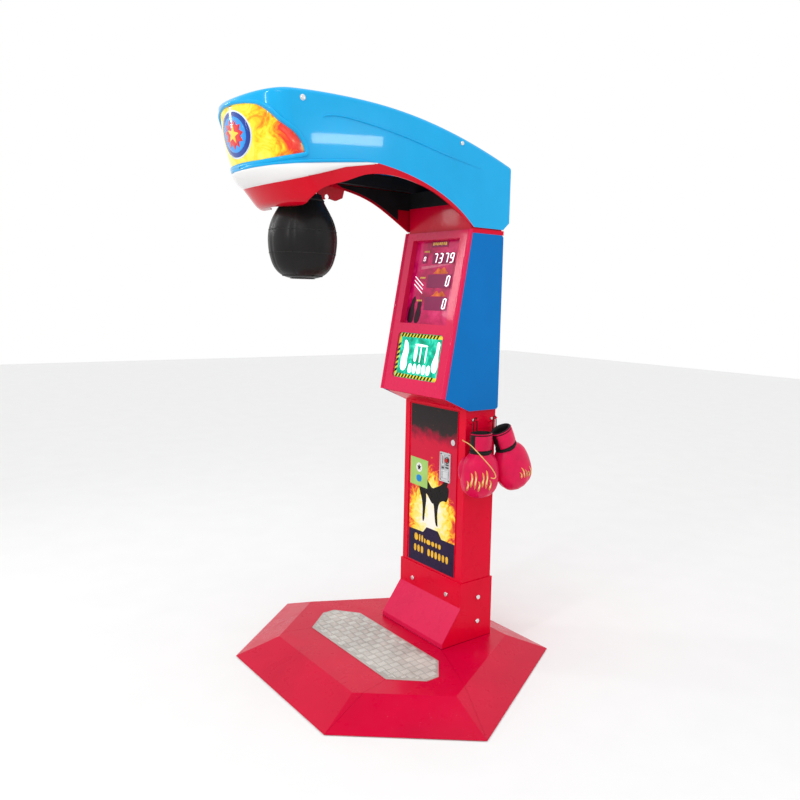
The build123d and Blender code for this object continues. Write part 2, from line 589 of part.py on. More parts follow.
with BuildPart() as score_digits:
    with BuildSketch(bezel_plane(-BEZEL_BACK - 0.2)) as modules:
        for left, right, bottom, top in DIGIT_MODULES:
            with Locations(((left + right) / 2, (bottom + top) / 2)):
                Rectangle(right - left, top - bottom)
    extrude(modules.sketch, amount=DIGITS_PROUD)
save(score_digits, "score_digits")

with BuildPart() as led_panel:
    low, high, half = LAMP_WINDOW
    with BuildSketch(bezel_plane(-2)) as lamp_face:
        with Locations((0, (low + high) / 2)):
            Rectangle(2 * half - 0.8, high - low - 0.8)
        chamfer(lamp_face.vertices(), LAMP_CLIP)
    extrude(lamp_face.sketch, amount=3)
save(led_panel, "led_panel")

# electrics inside the column
with BuildPart() as control_board:
    block(184, 187, 290, 400, 1190, 1400)
    block(172, 184, 310, 340, 1230, 1290)
    block(172, 184, 350, 390, 1320, 1380)
    for y in (298, 392):
        for z in (1200, 1390):
            rod_x(y, z, 4, 187, COL_HALF - COL_WALL)
save(control_board, "control_board")

with BuildPart() as power_supply:
    block(-COL_HALF + COL_WALL, -150, 290, 395, 1190, 1400)
    chamfer(power_supply.edges().filter_by(Axis.Z).group_by(Axis.X)[-1], 4)
    for z in range(1210, 1381, 20):
        block(-152, -149, 305, 380, z, z + 6, Mode.SUBTRACT)
save(power_supply, "power_supply")

with BuildPart() as speaker:
    y0, z0 = CAB_FRONT_BOTTOM[0] + 18, CAB_FRONT_BOTTOM[1] - 6
    y1, z1 = COL_FRONT - 0.4, CAB_FLOOR_Z + 2
    slope = Vector(0, y1 - y0, z1 - z0).normalized()
    upwards = Vector(1, 0, 0).cross(slope)
    middle = Vector(0, (y0 + y1) / 2, (z0 + z1) / 2 + SHEET) + upwards * 0.5
    for radius, low, high in ((40, 0, 18), (24, 18, 34)):
        with BuildSketch(Plane(middle + upwards * low, x_dir=(1, 0, 0), z_dir=upwards)) as disc:
            Circle(radius)
        extrude(disc.sketch, amount=high - low)
save(speaker, "speaker")

# ---------------------------------------------------------------- rear door and mains inlet
REAR_DOOR = (1083.0, 1657.0)
REAR_LOCK_Z = 1370.0
REAR_LEAF = (COL_REAR + DOOR_GAP, COL_REAR + DOOR_GAP + SHEET)
REAR_HINGE_Y = COL_REAR + KNUCKLE_R

with BuildPart() as rear_hinge:
    hinge_leaf(*REAR_DOOR, REAR_HINGE_Y, COL_REAR)
save(rear_hinge, "rear_hinge")

with BuildPart() as rear_door:
    block(-DOOR_HALF + 2, DOOR_HALF, *REAR_LEAF, *REAR_DOOR)
    for z in (1110, 1627):
        block(-OPEN_HALF + 12, OPEN_HALF - 4, REAR_LEAF[0] - 9, REAR_LEAF[0], z, z + 3)
    door_knuckles(*REAR_DOOR, REAR_HINGE_Y, REAR_LEAF)
    rod_y(LOCK_X, REAR_LOCK_Z, LOCK_R + RUN_CLEAR, REAR_LEAF[0] - 1, REAR_LEAF[1] + 1, Mode.SUBTRACT)
    for x in range(-100, 101, 20):
        block(x - 3, x + 3, REAR_LEAF[0] - 1, REAR_LEAF[1] + 1, 1540, 1600, Mode.SUBTRACT)
save(rear_door, "rear_door")

with BuildPart() as rear_lock:
    cam_lock(REAR_LOCK_Z, REAR_LEAF[1], -1)
save(rear_lock, "rear_lock")

with BuildPart() as mains_inlet:
    x, z, half_x, half_z = INLET
    block(x - half_x - 4, x + half_x + 4, COL_REAR, COL_REAR + 3, z - half_z - 4, z + half_z + 4)
    block(x - half_x + 0.4, x + half_x - 0.4, COL_REAR - 36, COL_REAR + 3, z - half_z + 0.4, z + half_z - 0.4)
    block(x - half_x + 5, x + half_x - 5, COL_REAR - 14, COL_REAR + 4, z - half_z + 5, z + half_z - 5,
          Mode.SUBTRACT)
    for pin_x in (-7, 0, 7):
        block(x + pin_x - 1, x + pin_x + 1, COL_REAR - 14, COL_REAR, z - 2, z + 2)
save(mains_inlet, "mains_inlet")

# ---------------------------------------------------------------- hood
NOSE = ((1850.0, -571.0), (2000.0, -614.0), (2110.0, -622.0))      # (z, y) of the nose's centre line
JAW_TOP = 1850.0
JAW_NOSE = -474.0            # the nose's Y at the bottom of the jaw
JAW_BACK = -300.0
CROWN = [(453, 1964), (184, 2046), (-17, 2084), (-155, 2097), (-333, 2099), (-459, 2093), (-569, 2079),
         (-622, 2064), (-640, 2056)]
HEAD_BOTTOM = 1721.0
HEAD_HEEL = (418.0, 1749.0)   # y and z where the rear lower corner is cut off


def nose_section(z, nose_y, back_y, shrink):
    """The hood's plan at one height: straight sides and an elliptical nose."""
    half = HEAD_HALF - shrink
    start = nose_y + NOSE_DEPTH
    with BuildSketch(level(z)) as sketch:
        with Locations((0, (start + back_y) / 2)):
            Rectangle(2 * half, back_y - start)
        with Locations((0, start)):
            Ellipse(half, NOSE_DEPTH - shrink)
    return sketch.sketch


def crown_outline(shrink):
    """Everything under the hood's top, in side view."""
    back = HEAD_REAR - shrink
    with BuildSketch(side(-HEAD_HALF - 5)) as sketch:
        with BuildLine():
            top = Spline(*[(y, z - shrink) for y, z in CROWN])
            Polyline(top @ 1, (CROWN[-1][0], JAW_BOTTOM - 60), (back + 20, JAW_BOTTOM - 60), top @ 0)
        make_face()
    return sketch.sketch


def hood_form(shrink, round_top):
    """The hood as a solid form, made smaller all round by the given amount."""
    back = HEAD_REAR - shrink
    with BuildPart() as form:
        loft([nose_section(z, y, back, shrink) for z, y in NOSE])
        block(-HEAD_HALF + shrink, HEAD_HALF - shrink, NOSE[0][1] + NOSE_DEPTH, back, NOSE[0][0], NOSE[-1][0])
        extrude(crown_outline(shrink), amount=2 * HEAD_HALF + 10, mode=Mode.INTERSECT)
        if round_top:
            crown = form.edges().filter_by(lambda e: e.center().Z > 1955 and e.length > 60)
            fillet(crown, round_top)
    with BuildPart() as jaw:
        loft([nose_section(JAW_BOTTOM + shrink, JAW_NOSE, JAW_BACK, shrink),
              nose_section(JAW_TOP, NOSE[0][1], JAW_BACK, shrink)])
        fillet(jaw.faces().sort_by(Axis.Z)[0].edges().filter_by(lambda e: e.center().Y < JAW_BACK - 1),
               JAW_ROUND - shrink)
    with BuildPart() as whole:
        add(form.part)
        add(jaw.part)
        block(-HEAD_HALF + shrink, HEAD_HALF - shrink, JAW_NOSE + NOSE_DEPTH, back, JAW_BOTTOM - 60, JAW_TOP)
    return whole.part


CROWN_ROUND = 16.0
hood_outside = hood_form(0, CROWN_ROUND)
hood_inside = hood_form(HEAD_WALL, CROWN_ROUND - HEAD_WALL)

# the mouth, cut right through from side to side, and the paint lines, all in side view (y, z)
MOUTH = [(-424, 1755), (-400, 1785), (-357, 1807), (-297, 1827), (-235, 1852), (-177, 1864), (-117, 1866),
         (-44, 1858), (21, 1844), (77, 1825), (129, 1800), (188, 1766), (COL_FRONT, HEAD_BOTTOM)]
LIP_TOP = [(-700, 1846), (-620, 1849), (-514, 1857), (-384, 1876), (-250, 1894), (-177, 1899)]
LIP_BOTTOM = [(-700, 1799), (-520, 1803), (-427, 1829), (-365, 1849), (-304, 1870), (-177, 1896)]
RED_TOP = [(-177, 1899), (-77, 1884), (38, 1853), (151, 1803), (COL_FRONT, HEAD_BOTTOM)]
MARQUEE = [(-452, 1897), (-467, 1929), (-494, 1955), (-534, 1981), (-559, 2007), (-592, 2038), (-650, 2056)]
MARQUEE_LOW = [(-650, 1866), (-560, 1870), (-497, 1884), (-452, 1897)]
MARQUEE_LAP = 12.0           # the light panel reaches this far behind the shell, all round
SHELL_SCREWS = [(-464.0, 2063.0), (193.0, 2019.0)]
SCREW_R = 4.0
BALL_NOTCH_R = 112.0         # the jaw's floor is cut back round the ball
ACROSS = 2 * HEAD_HALF + 60


def across(curves, corners=()):
    """A prism right across the hood; its outline is the splines, then straight through the corners."""
    with BuildSketch(side(-ACROSS / 2)) as sketch:
        with BuildLine():
            for i, curve in enumerate(curves):
                Spline(*curve)
                following = [*corners, curves[0][0]] if i == len(curves) - 1 else [curves[i + 1][0]]
                if hypot(following[0][0] - curve[-1][0], following[0][1] - curve[-1][1]) > 1e-6:
                    Polyline(curve[-1], *following)
        make_face()
    with BuildPart() as cutter:
        extrude(sketch.sketch, amount=ACROSS)
    return cutter.part


with BuildPart() as mouth_form:
    add(across([MOUTH], [(COL_FRONT, 1600), (-424, 1600)]))
    rod_z(0, PIVOT_Y, BALL_NOTCH_R, JAW_BOTTOM - 20, 1760)

with BuildPart() as hood_skin:
    add(hood_outside)
    add(hood_inside, mode=Mode.SUBTRACT)
    add(mouth_form.part, mode=Mode.SUBTRACT)
    block(-HEAD_HALF - 1, HEAD_HALF + 1, COL_FRONT - 1, HEAD_REAR + 1, 1600, HEAD_BOTTOM, Mode.SUBTRACT)
    prism([(HEAD_HEEL[0], 1600), (HEAD_HEEL[0], HEAD_BOTTOM + 3), (HEAD_REAR, HEAD_HEEL[1]),
           (HEAD_REAR + 1, 1600)],
          side(-ACROSS / 2), ACROSS, Mode.SUBTRACT)

with BuildPart() as head_shell:
    add(hood_skin.part)
    add(across([LIP_TOP, RED_TOP], [(COL_FRONT, 1600), (480, 1600), (480, 2200), (-700, 2200)]),
        mode=Mode.INTERSECT)
    add(across([MARQUEE], MARQUEE_LOW[:-1]), mode=Mode.SUBTRACT)
    for y, z in SHELL_SCREWS:
        rod_x(y, z, SCREW_R, -HEAD_HALF - 1, HEAD_HALF + 1, Mode.SUBTRACT)
save(head_shell, "head_shell")

with BuildPart() as lip_band:
    add(hood_skin.part)
    add(across([LIP_TOP, LIP_BOTTOM[::-1]]), mode=Mode.INTERSECT)
save(lip_band, "lip_band")

with BuildPart() as jaw_shell:
    add(hood_skin.part)
    add(across([LIP_BOTTOM, RED_TOP], [(COL_FRONT, 1600), (-700, 1600)]), mode=Mode.INTERSECT)
save(jaw_shell, "jaw_shell")

MARQUEE_T = 3.0
lapped = inset(MARQUEE + MARQUEE_LOW[:-1], -MARQUEE_LAP)
panel_upper = lapped[:len(MARQUEE)]
with BuildPart() as marquee_panel:
    add(hood_inside)
    add(hood_form(HEAD_WALL + MARQUEE_T, CROWN_ROUND - HEAD_WALL - MARQUEE_T), mode=Mode.SUBTRACT)
    add(across([panel_upper], lapped[len(MARQUEE):]), mode=Mode.INTERSECT)
save(marquee_panel, "marquee_panel")

# ---------------------------------------------------------------- frame inside the hood
RAIL_X = (155.0, 185.0)
RAIL_Z = (COL_TOP, COL_TOP + 50.0)
RAIL_Y = (-450.0, COL_REAR)
INNER = HEAD_HALF - HEAD_WALL
TUBE_WALL = 2.5
STRAP_SHELVES = (1966.0, 1890.0)     # where each screw's strap steps outwards, clear of the light panel

with BuildPart() as head_frame:
    for x0, x1 in (RAIL_X, (-RAIL_X[1], -RAIL_X[0])):
        block(x0, x1, *RAIL_Y, *RAIL_Z)
        block(x0 + TUBE_WALL, x1 - TUBE_WALL, RAIL_Y[0] + TUBE_WALL, RAIL_Y[1] - TUBE_WALL,
              RAIL_Z[0] + TUBE_WALL, RAIL_Z[1] - TUBE_WALL, Mode.SUBTRACT)
    for y0, y1 in ((-450, -420), (380, 410)):
        block(-RAIL_X[0], RAIL_X[0], y0, y1, RAIL_Z[0] + 5, RAIL_Z[1] - 5)
    # straps reach out from the rails to the shell's screws
    for sign in (-1, 1):
        for (y, z), shelf in zip(SHELL_SCREWS, STRAP_SHELVES):
            block(*sorted((sign * (INNER - 5), sign * INNER)), y - 12, y + 12, shelf, z + 6)
            block(*sorted((sign * RAIL_X[1], sign * INNER)), y - 12, y + 12, shelf, shelf + 5)
            block(*sorted((sign * RAIL_X[1], sign * (RAIL_X[1] + 5))), y - 12, y + 30, RAIL_Z[0], shelf + 5)
    for y, z in SHELL_SCREWS:
        rod_x(y, z, SCREW_R, -INNER - 1, INNER + 1, Mode.SUBTRACT)
save(head_frame, "head_frame")

# black boards line the hood above the mouth, with a bulkhead in front of the column
LINER_X = (196.0, 199.0)
LINER_TOP = RAIL_Z[0] - 1
with BuildPart() as hood_liner:
    add(across([[(y, z + 6) for y, z in MOUTH[2:]]], [(COL_FRONT - 4.5, LINER_TOP), (-357, LINER_TOP)]))
    block(-RAIL_X[1] - 30, RAIL_X[1] + 30, 200, COL_FRONT + 10, 1600, 1808, Mode.SUBTRACT)
    block(-RAIL_X[1] - 30, RAIL_X[1] + 30, COL_FRONT - 4.5, COL_FRONT + 10, 1600, LINER_TOP + 1,
          Mode.SUBTRACT)
    block(-ACROSS, -LINER_X[1], -500, 500, 1600, 2000, Mode.SUBTRACT)
    block(LINER_X[1], ACROSS, -500, 500, 1600, 2000, Mode.SUBTRACT)
    block(-LINER_X[0], LINER_X[0], -500, 500, 1600, 2000, Mode.SUBTRACT)
    block(-LINER_X[0], LINER_X[0], COL_FRONT - 5, COL_FRONT - 0.5, 1815, LINER_TOP)
save(hood_liner, "hood_liner")

with BuildPart() as marquee_light:
    block(-130, 130, -500, -480, 1935, 1955)
    for x in (-100, 100):
        block(x - 8, x + 8, -480, -450, 1943, 1946)
        block(x - 8, x + 8, -453, -450, 1905, 1946)
        block(x - 8, x + 8, -453, -450, RAIL_Z[0] + 10, 1906)
save(marquee_light, "marquee_light")

RACK_X = (COL_HALF, COL_HALF + 3.0)
RACK_Y = (262.0, 405.0)
RACK_Z = (945.0, 985.0)
RACK_SCREWS = [(297.0, 976.0), (394.0, 976.0)]
dome_screw = bolt(8.0, 4.0, SCREW_R, HEAD_WALL + 3)
rack_screw = bolt(6.0, 3.0, SCREW_R - 1, RACK_X[1] - RACK_X[0])
with BuildPart() as dome_screws:
    for y, z in SHELL_SCREWS:
        add(dome_screw.moved(Location((HEAD_HALF, y, z), (0, 90, 0))))
        add(dome_screw.moved(Location((-HEAD_HALF, y, z), (0, -90, 0))))
    for y, z in RACK_SCREWS:
        add(rack_screw.moved(Location((RACK_X[1], y, z), (0, 90, 0))))
save(dome_screws, "dome_screws")

# ---------------------------------------------------------------- the swinging ball
BRACKET_X = (150.5, RAIL_X[0])
BEARING_X = (129.0, BRACKET_X[0])
SHAFT_X = 149.5
ARM_R = 17.0
NECK_TOP = 1795.0
COLLAR_T = 8.0

with BuildPart() as pivot_brackets:
    for x0, x1 in (BRACKET_X, (-BRACKET_X[1], -BRACKET_X[0])):
        block(x0, x1, PIVOT_Y - 40, PIVOT_Y + 40, PIVOT_Z - 35, PIVOT_Z + 55)
    fillet(pivot_brackets.edges().filter_by(Axis.X).group_by(Axis.Z)[0], 12)
    block(-BRACKET_X[1], BRACKET_X[1], PIVOT_Y - 47, PIVOT_Y - 39.2, PIVOT_Z - 55, PIVOT_Z - 25)
    for x0, x1 in (BRACKET_X, (-BRACKET_X[1], -BRACKET_X[0])):
        block(x0, x1, PIVOT_Y - 47, PIVOT_Y - 28, PIVOT_Z - 55, PIVOT_Z - 10)
        rod_x(PIVOT_Y, PIVOT_Z, SHAFT_R + 1.5, x0 - 1, x1 + 1, Mode.SUBTRACT)
save(pivot_brackets, "pivot_brackets")

with BuildPart() as pivot_bearings:
    for x0, x1 in (BEARING_X, (-BEARING_X[1], -BEARING_X[0])):
        rod_x(PIVOT_Y, PIVOT_Z, 30, x0, x1)
        block(x0, x1, PIVOT_Y - 36, PIVOT_Y + 36, PIVOT_Z + 12, PIVOT_Z + 30)
        rod_x(PIVOT_Y, PIVOT_Z, SHAFT_R + 0.06, x0 - 1, x1 + 1, Mode.SUBTRACT)
save(pivot_bearings, "pivot_bearings")

with BuildPart() as pivot_shaft:
    rod_x(PIVOT_Y, PIVOT_Z, SHAFT_R, -SHAFT_X, SHAFT_X)
    chamfer(pivot_shaft.edges(), 1)
save(pivot_shaft, "pivot_shaft")

with BuildPart() as swing_arm:
    rod_x(PIVOT_Y, PIVOT_Z, 22, -30, 30)
    rod_z(0, PIVOT_Y, ARM_R, NECK_TOP + COLLAR_T, PIVOT_Z)
    rod_x(PIVOT_Y, PIVOT_Z, SHAFT_R, -31, 31, Mode.SUBTRACT)
save(swing_arm, "swing_arm")

with BuildPart() as ball_collar:
    rod_z(0, PIVOT_Y, 45, NECK_TOP, NECK_TOP + COLLAR_T)
    chamfer(ball_collar.edges().group_by(Axis.Z)[-1], 2)
save(ball_collar, "ball_collar")

BALL_OUTLINE = [(62, NECK_TOP), (74, 1754), (98, 1702), (BALL_R, BALL_CENTRE_Z), (111, 1570), (82, 1522),
                (40, 1506), (0, 1503)]       # radius, height
with BuildPart() as ball:
    with BuildSketch(Plane.XZ) as ball_half:
        with BuildLine():
            Spline(*BALL_OUTLINE, tangents=[(0.15, -1), (-1, 0)])
            Polyline(BALL_OUTLINE[-1], (0, NECK_TOP), BALL_OUTLINE[0])
        make_face()
    revolve(ball_half.sketch, axis=Axis.Z)
ball.part = ball.part.moved(Location((0, PIVOT_Y, 0)))
save(ball, "ball")

# a lobed plate on the arm; the latch pin drops into the notch between its lobes when the ball is up
STRIKER = [(10, 22), (60, 10), (166, -40), (158, -72), (130, -85), (106, -80), (88, -82), (76, -87),
           (52, -62), (10, -40)]
NOTCH = (94.0, -74.0)        # centre of the notch, from the pivot, with the ball hanging
NOTCH_R = 9.5
STRIKER_HALF = 3.0
with BuildPart() as striker_plate:
    prism([(PIVOT_Y + y, PIVOT_Z + z) for y, z in STRIKER], side(-STRIKER_HALF), 2 * STRIKER_HALF)
    for y, z in (STRIKER[2], STRIKER[4], STRIKER[7]):
        corner = striker_plate.edges().filter_by(Axis.X).sort_by_distance((0, PIVOT_Y + y, PIVOT_Z + z))[0]
        fillet(corner, 9)
    rod_x(PIVOT_Y + NOTCH[0], PIVOT_Z + NOTCH[1], NOTCH_R, -10, 10, Mode.SUBTRACT)
    rod_x(PIVOT_Y, PIVOT_Z, 22, -10, 10, Mode.SUBTRACT)
    block(-10, 10, PIVOT_Y - 40, PIVOT_Y + ARM_R, PIVOT_Z - 120, PIVOT_Z, Mode.SUBTRACT)
save(striker_plate, "striker_plate")

with BuildPart() as rest_bumper:
    rod_y(0, PIVOT_Z - 40, 14, PIVOT_Y - 39.2, PIVOT_Y - ARM_R - 0.3)
save(rest_bumper, "rest_bumper")

with BuildPart() as hit_sensor:
    block(-BRACKET_X[1] - 3, -BRACKET_X[1] - 0.2, PIVOT_Y - 20, PIVOT_Y + 20, PIVOT_Z - 20, PIVOT_Z + 9)
save(hit_sensor, "hit_sensor")

# the latch: the notch's centre with the ball swung up through a right angle gives the pin's line
PIN_Y = PIVOT_Y - NOTCH[1]
PIN_Z = PIVOT_Z + NOTCH[0]
PIN_HALF = 6.0
SOLENOID_X = (25.0, 80.0)
PLATE_Z = (1986.0, 1990.0)

with BuildPart() as latch_bracket:
    block(20, 160, -300, -245, *PLATE_Z)
    block(156, 160, -300, -245, RAIL_Z[1], PLATE_Z[1])
    block(156, RAIL_X[1], -300, -245, RAIL_Z[1], RAIL_Z[1] + 4)
save(latch_bracket, "latch_bracket")

with BuildPart() as latch_solenoid:
    block(*SOLENOID_X, PIN_Y - 20, PIN_Y + 20, PIN_Z - 20, PLATE_Z[0])
    fillet(latch_solenoid.edges().filter_by(Axis.X), 3)
    rod_x(PIN_Y, PIN_Z, PIN_HALF + RUN_CLEAR, SOLENOID_X[0] - 1, SOLENOID_X[0] + 30, Mode.SUBTRACT)
save(latch_solenoid, "latch_solenoid")

with BuildPart() as latch_plunger:
    rod_x(PIN_Y, PIN_Z, PIN_HALF, 8, SOLENOID_X[0] + 26)
    chamfer(latch_plunger.edges().group_by(Axis.X)[0], 1)
save(latch_plunger, "latch_plunger")

# ---------------------------------------------------------------- gloves
PEG_R = 3.0
PEG_LENGTH = 55.0
PEG_Z = 960.0                # where the pegs' axes leave the rack
PEG_RISE = 30.0              # degrees above level
PEG_YS = (283.0, 380.0)
LOOP_X = (231.0, 234.0)
GLOVE_X = 268.0
# distance down the glove, then the half sizes along Y and X
GLOVE_SECTIONS = [(0, 46, 38), (70, 46, 36), (100, 66, 50), (150, 83, 62), (200, 80, 62), (240, 55, 45),
                  (257, 22, 18)]

with BuildPart() as glove_rack:
    block(*RACK_X, *RACK_Y, *RACK_Z)
    for y in PEG_YS:
        start = Plane((RACK_X[1] - 2, y, PEG_Z), x_dir=(0, 1, 0),
                      z_dir=(cos(radians(PEG_RISE)), 0, sin(radians(PEG_RISE))))
        with BuildSketch(start) as peg:
            Circle(PEG_R)
        extrude(peg.sketch, amount=PEG_LENGTH)
    block(*RACK_X, *RACK_Y, RACK_Z[0] - 5, RACK_Z[0])
    block(COL_HALF - 5, RACK_X[0], *RACK_Y, 900, 1000, Mode.SUBTRACT)
    for y, z in RACK_SCREWS:
        rod_x(y, z, SCREW_R - 1, RACK_X[0] - 1, RACK_X[1] + 1, Mode.SUBTRACT)
save(glove_rack, "glove_rack")


def glove(cuff_y, cuff_z, tilt, grow):
    """A stuffed glove hanging fist down from its cuff, with a pocket in the cuff and a strap over the peg."""
    lean = radians(tilt)
    down = Vector(0, sin(lean), -cos(lean))
    with BuildPart() as body:
        sections = []
        for distance, half_y, half_x in GLOVE_SECTIONS:
            middle = Vector(GLOVE_X, cuff_y, cuff_z) + down * (distance * grow)
            with BuildSketch(Plane(middle, x_dir=(1, 0, 0), z_dir=down)) as section:
                Ellipse(half_x, half_y)
            sections.append(section.sketch)
        loft(sections, ruled=True)
    with BuildPart() as pocket:
        mouth = Plane(Vector(GLOVE_X, cuff_y, cuff_z) - down * 1, x_dir=(1, 0, 0), z_dir=down)
        with BuildSketch(mouth) as hole:
            Ellipse(GLOVE_SECTIONS[0][2] - 8, GLOVE_SECTIONS[0][1] - 8)
        extrude(hole.sketch, amount=80)
    with BuildPart() as strap:
        block(*LOOP_X, cuff_y - 13, cuff_y + 13, cuff_z - 20, 992)
        fillet(strap.edges().filter_by(Axis.X).group_by(Axis.Z)[-1], 8)
        block(LOOP_X[0] - 1, LOOP_X[1] + 1, cuff_y - 7, cuff_y + 7, cuff_z + 8, 984, Mode.SUBTRACT)
    with BuildPart() as whole:
        add(body.part)
        add(pocket.part, mode=Mode.SUBTRACT)
        add(strap.part)
    return whole.part


with BuildPart() as glove_front:
    add(glove(PEG_YS[0], 938.0, 0.0, 1.0))
save(glove_front, "glove_front")

with BuildPart() as glove_rear:
    add(glove(PEG_YS[1] + 4, 944.0, 25.0, 1.06))
save(glove_rear, "glove_rear")
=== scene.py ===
"""Looks of the boxing punch machine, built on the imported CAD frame.  Metres, +Z up, player at -Y."""
import math

import bmesh
import bpy
from mathutils import Matrix, Vector
from mathutils.bvhtree import BVHTree
from mathutils.geometry import tessellate_polygon


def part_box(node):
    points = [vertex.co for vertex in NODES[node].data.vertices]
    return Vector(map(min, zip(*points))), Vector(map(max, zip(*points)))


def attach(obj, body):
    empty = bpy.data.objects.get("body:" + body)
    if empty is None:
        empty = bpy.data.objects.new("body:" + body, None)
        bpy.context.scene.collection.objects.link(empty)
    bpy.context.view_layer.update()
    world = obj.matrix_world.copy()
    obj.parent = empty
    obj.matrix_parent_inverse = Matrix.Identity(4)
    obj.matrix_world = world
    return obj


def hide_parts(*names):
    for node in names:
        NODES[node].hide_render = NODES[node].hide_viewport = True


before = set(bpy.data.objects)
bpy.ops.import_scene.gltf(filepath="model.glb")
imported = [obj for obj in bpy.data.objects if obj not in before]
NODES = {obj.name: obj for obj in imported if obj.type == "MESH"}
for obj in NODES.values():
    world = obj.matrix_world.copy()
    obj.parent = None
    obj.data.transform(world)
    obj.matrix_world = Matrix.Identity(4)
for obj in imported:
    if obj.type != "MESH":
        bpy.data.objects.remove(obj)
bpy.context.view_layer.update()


def mm(*values):
    return [v / 1000 for v in values]


# ---- camera, floor and light
def set_camera():
    """A camera at chest height to the front right of the machine, rolled a little."""
    place = (2.425, -1.659, 1.444)
    azimuth, elevation, roll = math.radians(50.456), math.radians(6.192), math.radians(1.566)
    back = Vector((math.sin(azimuth) * math.cos(elevation), -math.cos(azimuth) * math.cos(elevation),
                   math.sin(elevation)))
    right = (-back).cross(Vector((0, 0, 1))).normalized()
    up = right.cross(-back)
    turned_right = right * math.cos(roll) + up * math.sin(roll)
    turned_up = up * math.cos(roll) - right * math.sin(roll)
    data = bpy.data.cameras.new("camera")
    data.sensor_width = 36
    data.lens = 34.24
    data.shift_x = -0.063
    data.shift_y = -0.022
    camera = bpy.data.objects.new("camera", data)
    bpy.context.scene.collection.objects.link(camera)
    turn = Matrix((turned_right, turned_up, back)).transposed().to_4x4()
    camera.matrix_world = Matrix.Translation(place) @ turn
    bpy.context.scene.camera = camera


def set_light():
    """Two soft lamps, four weak strips for the gloss on the hood, and a white world."""
    scene = bpy.context.scene
    scene.view_settings.view_transform = "Standard"
    world = bpy.data.worlds.new("studio")
    scene.world = world
    world.use_nodes = True
    background = world.node_tree.nodes["Background"]
    background.inputs["Color"].default_value = (1, 1, 1, 1)
    background.inputs["Strength"].default_value = 1.0
    lights = [
        ("key", (3.0, -2.6, 3.4), (0, -0.1, 1.4), 1.5, 1.1, 13),
        ("top", (0.6, -0.4, 4.2), (0, 0, 1.0), 1.6, 1.6, 9),
        ("nose_strip", (0.72, -3.04, 2.75), (0.18, -0.57, 2.06), 0.16, 1.5, 16),
        ("nose_strip_far", (-2.47, -1.85, 2.7), (0.03, -0.62, 2.05), 0.14, 1.3, 12),
        ("rim_strip", (1.6, -2.2, 3.9), (0.2, -0.5, 2.0), 0.9, 0.12, 7),
        ("side_strip", (3.53, 1.74, 2.73), (0.2, -0.3, 1.96), 0.58, 0.08, 2.6),
    ]
    for name, place, target, width, height, power in lights:
        data = bpy.data.lights.new(name, "AREA")
        data.shape = "RECTANGLE"
        data.size = width
        data.size_y = height
        data.energy = power
        light = bpy.data.objects.new(name, data)
        scene.collection.objects.link(light)
        light.location = place
        light.rotation_euler = (Vector(target) - Vector(place)).to_track_quat("-Z", "Y").to_euler()


def set_floor():
    mesh = bpy.data.meshes.new("floor")
    side = 14.0
    corners = [(u, v, 0) for u, v in rectangle(-side, side, -side, side)]
    mesh.from_pydata(corners, [], [(0, 1, 2, 3)])
    floor = bpy.data.objects.new("floor", mesh)
    bpy.context.scene.collection.objects.link(floor)
    floor.data.materials.append(surface("studio_floor", (0.86, 0.86, 0.86), 0.75, vary=0.01))


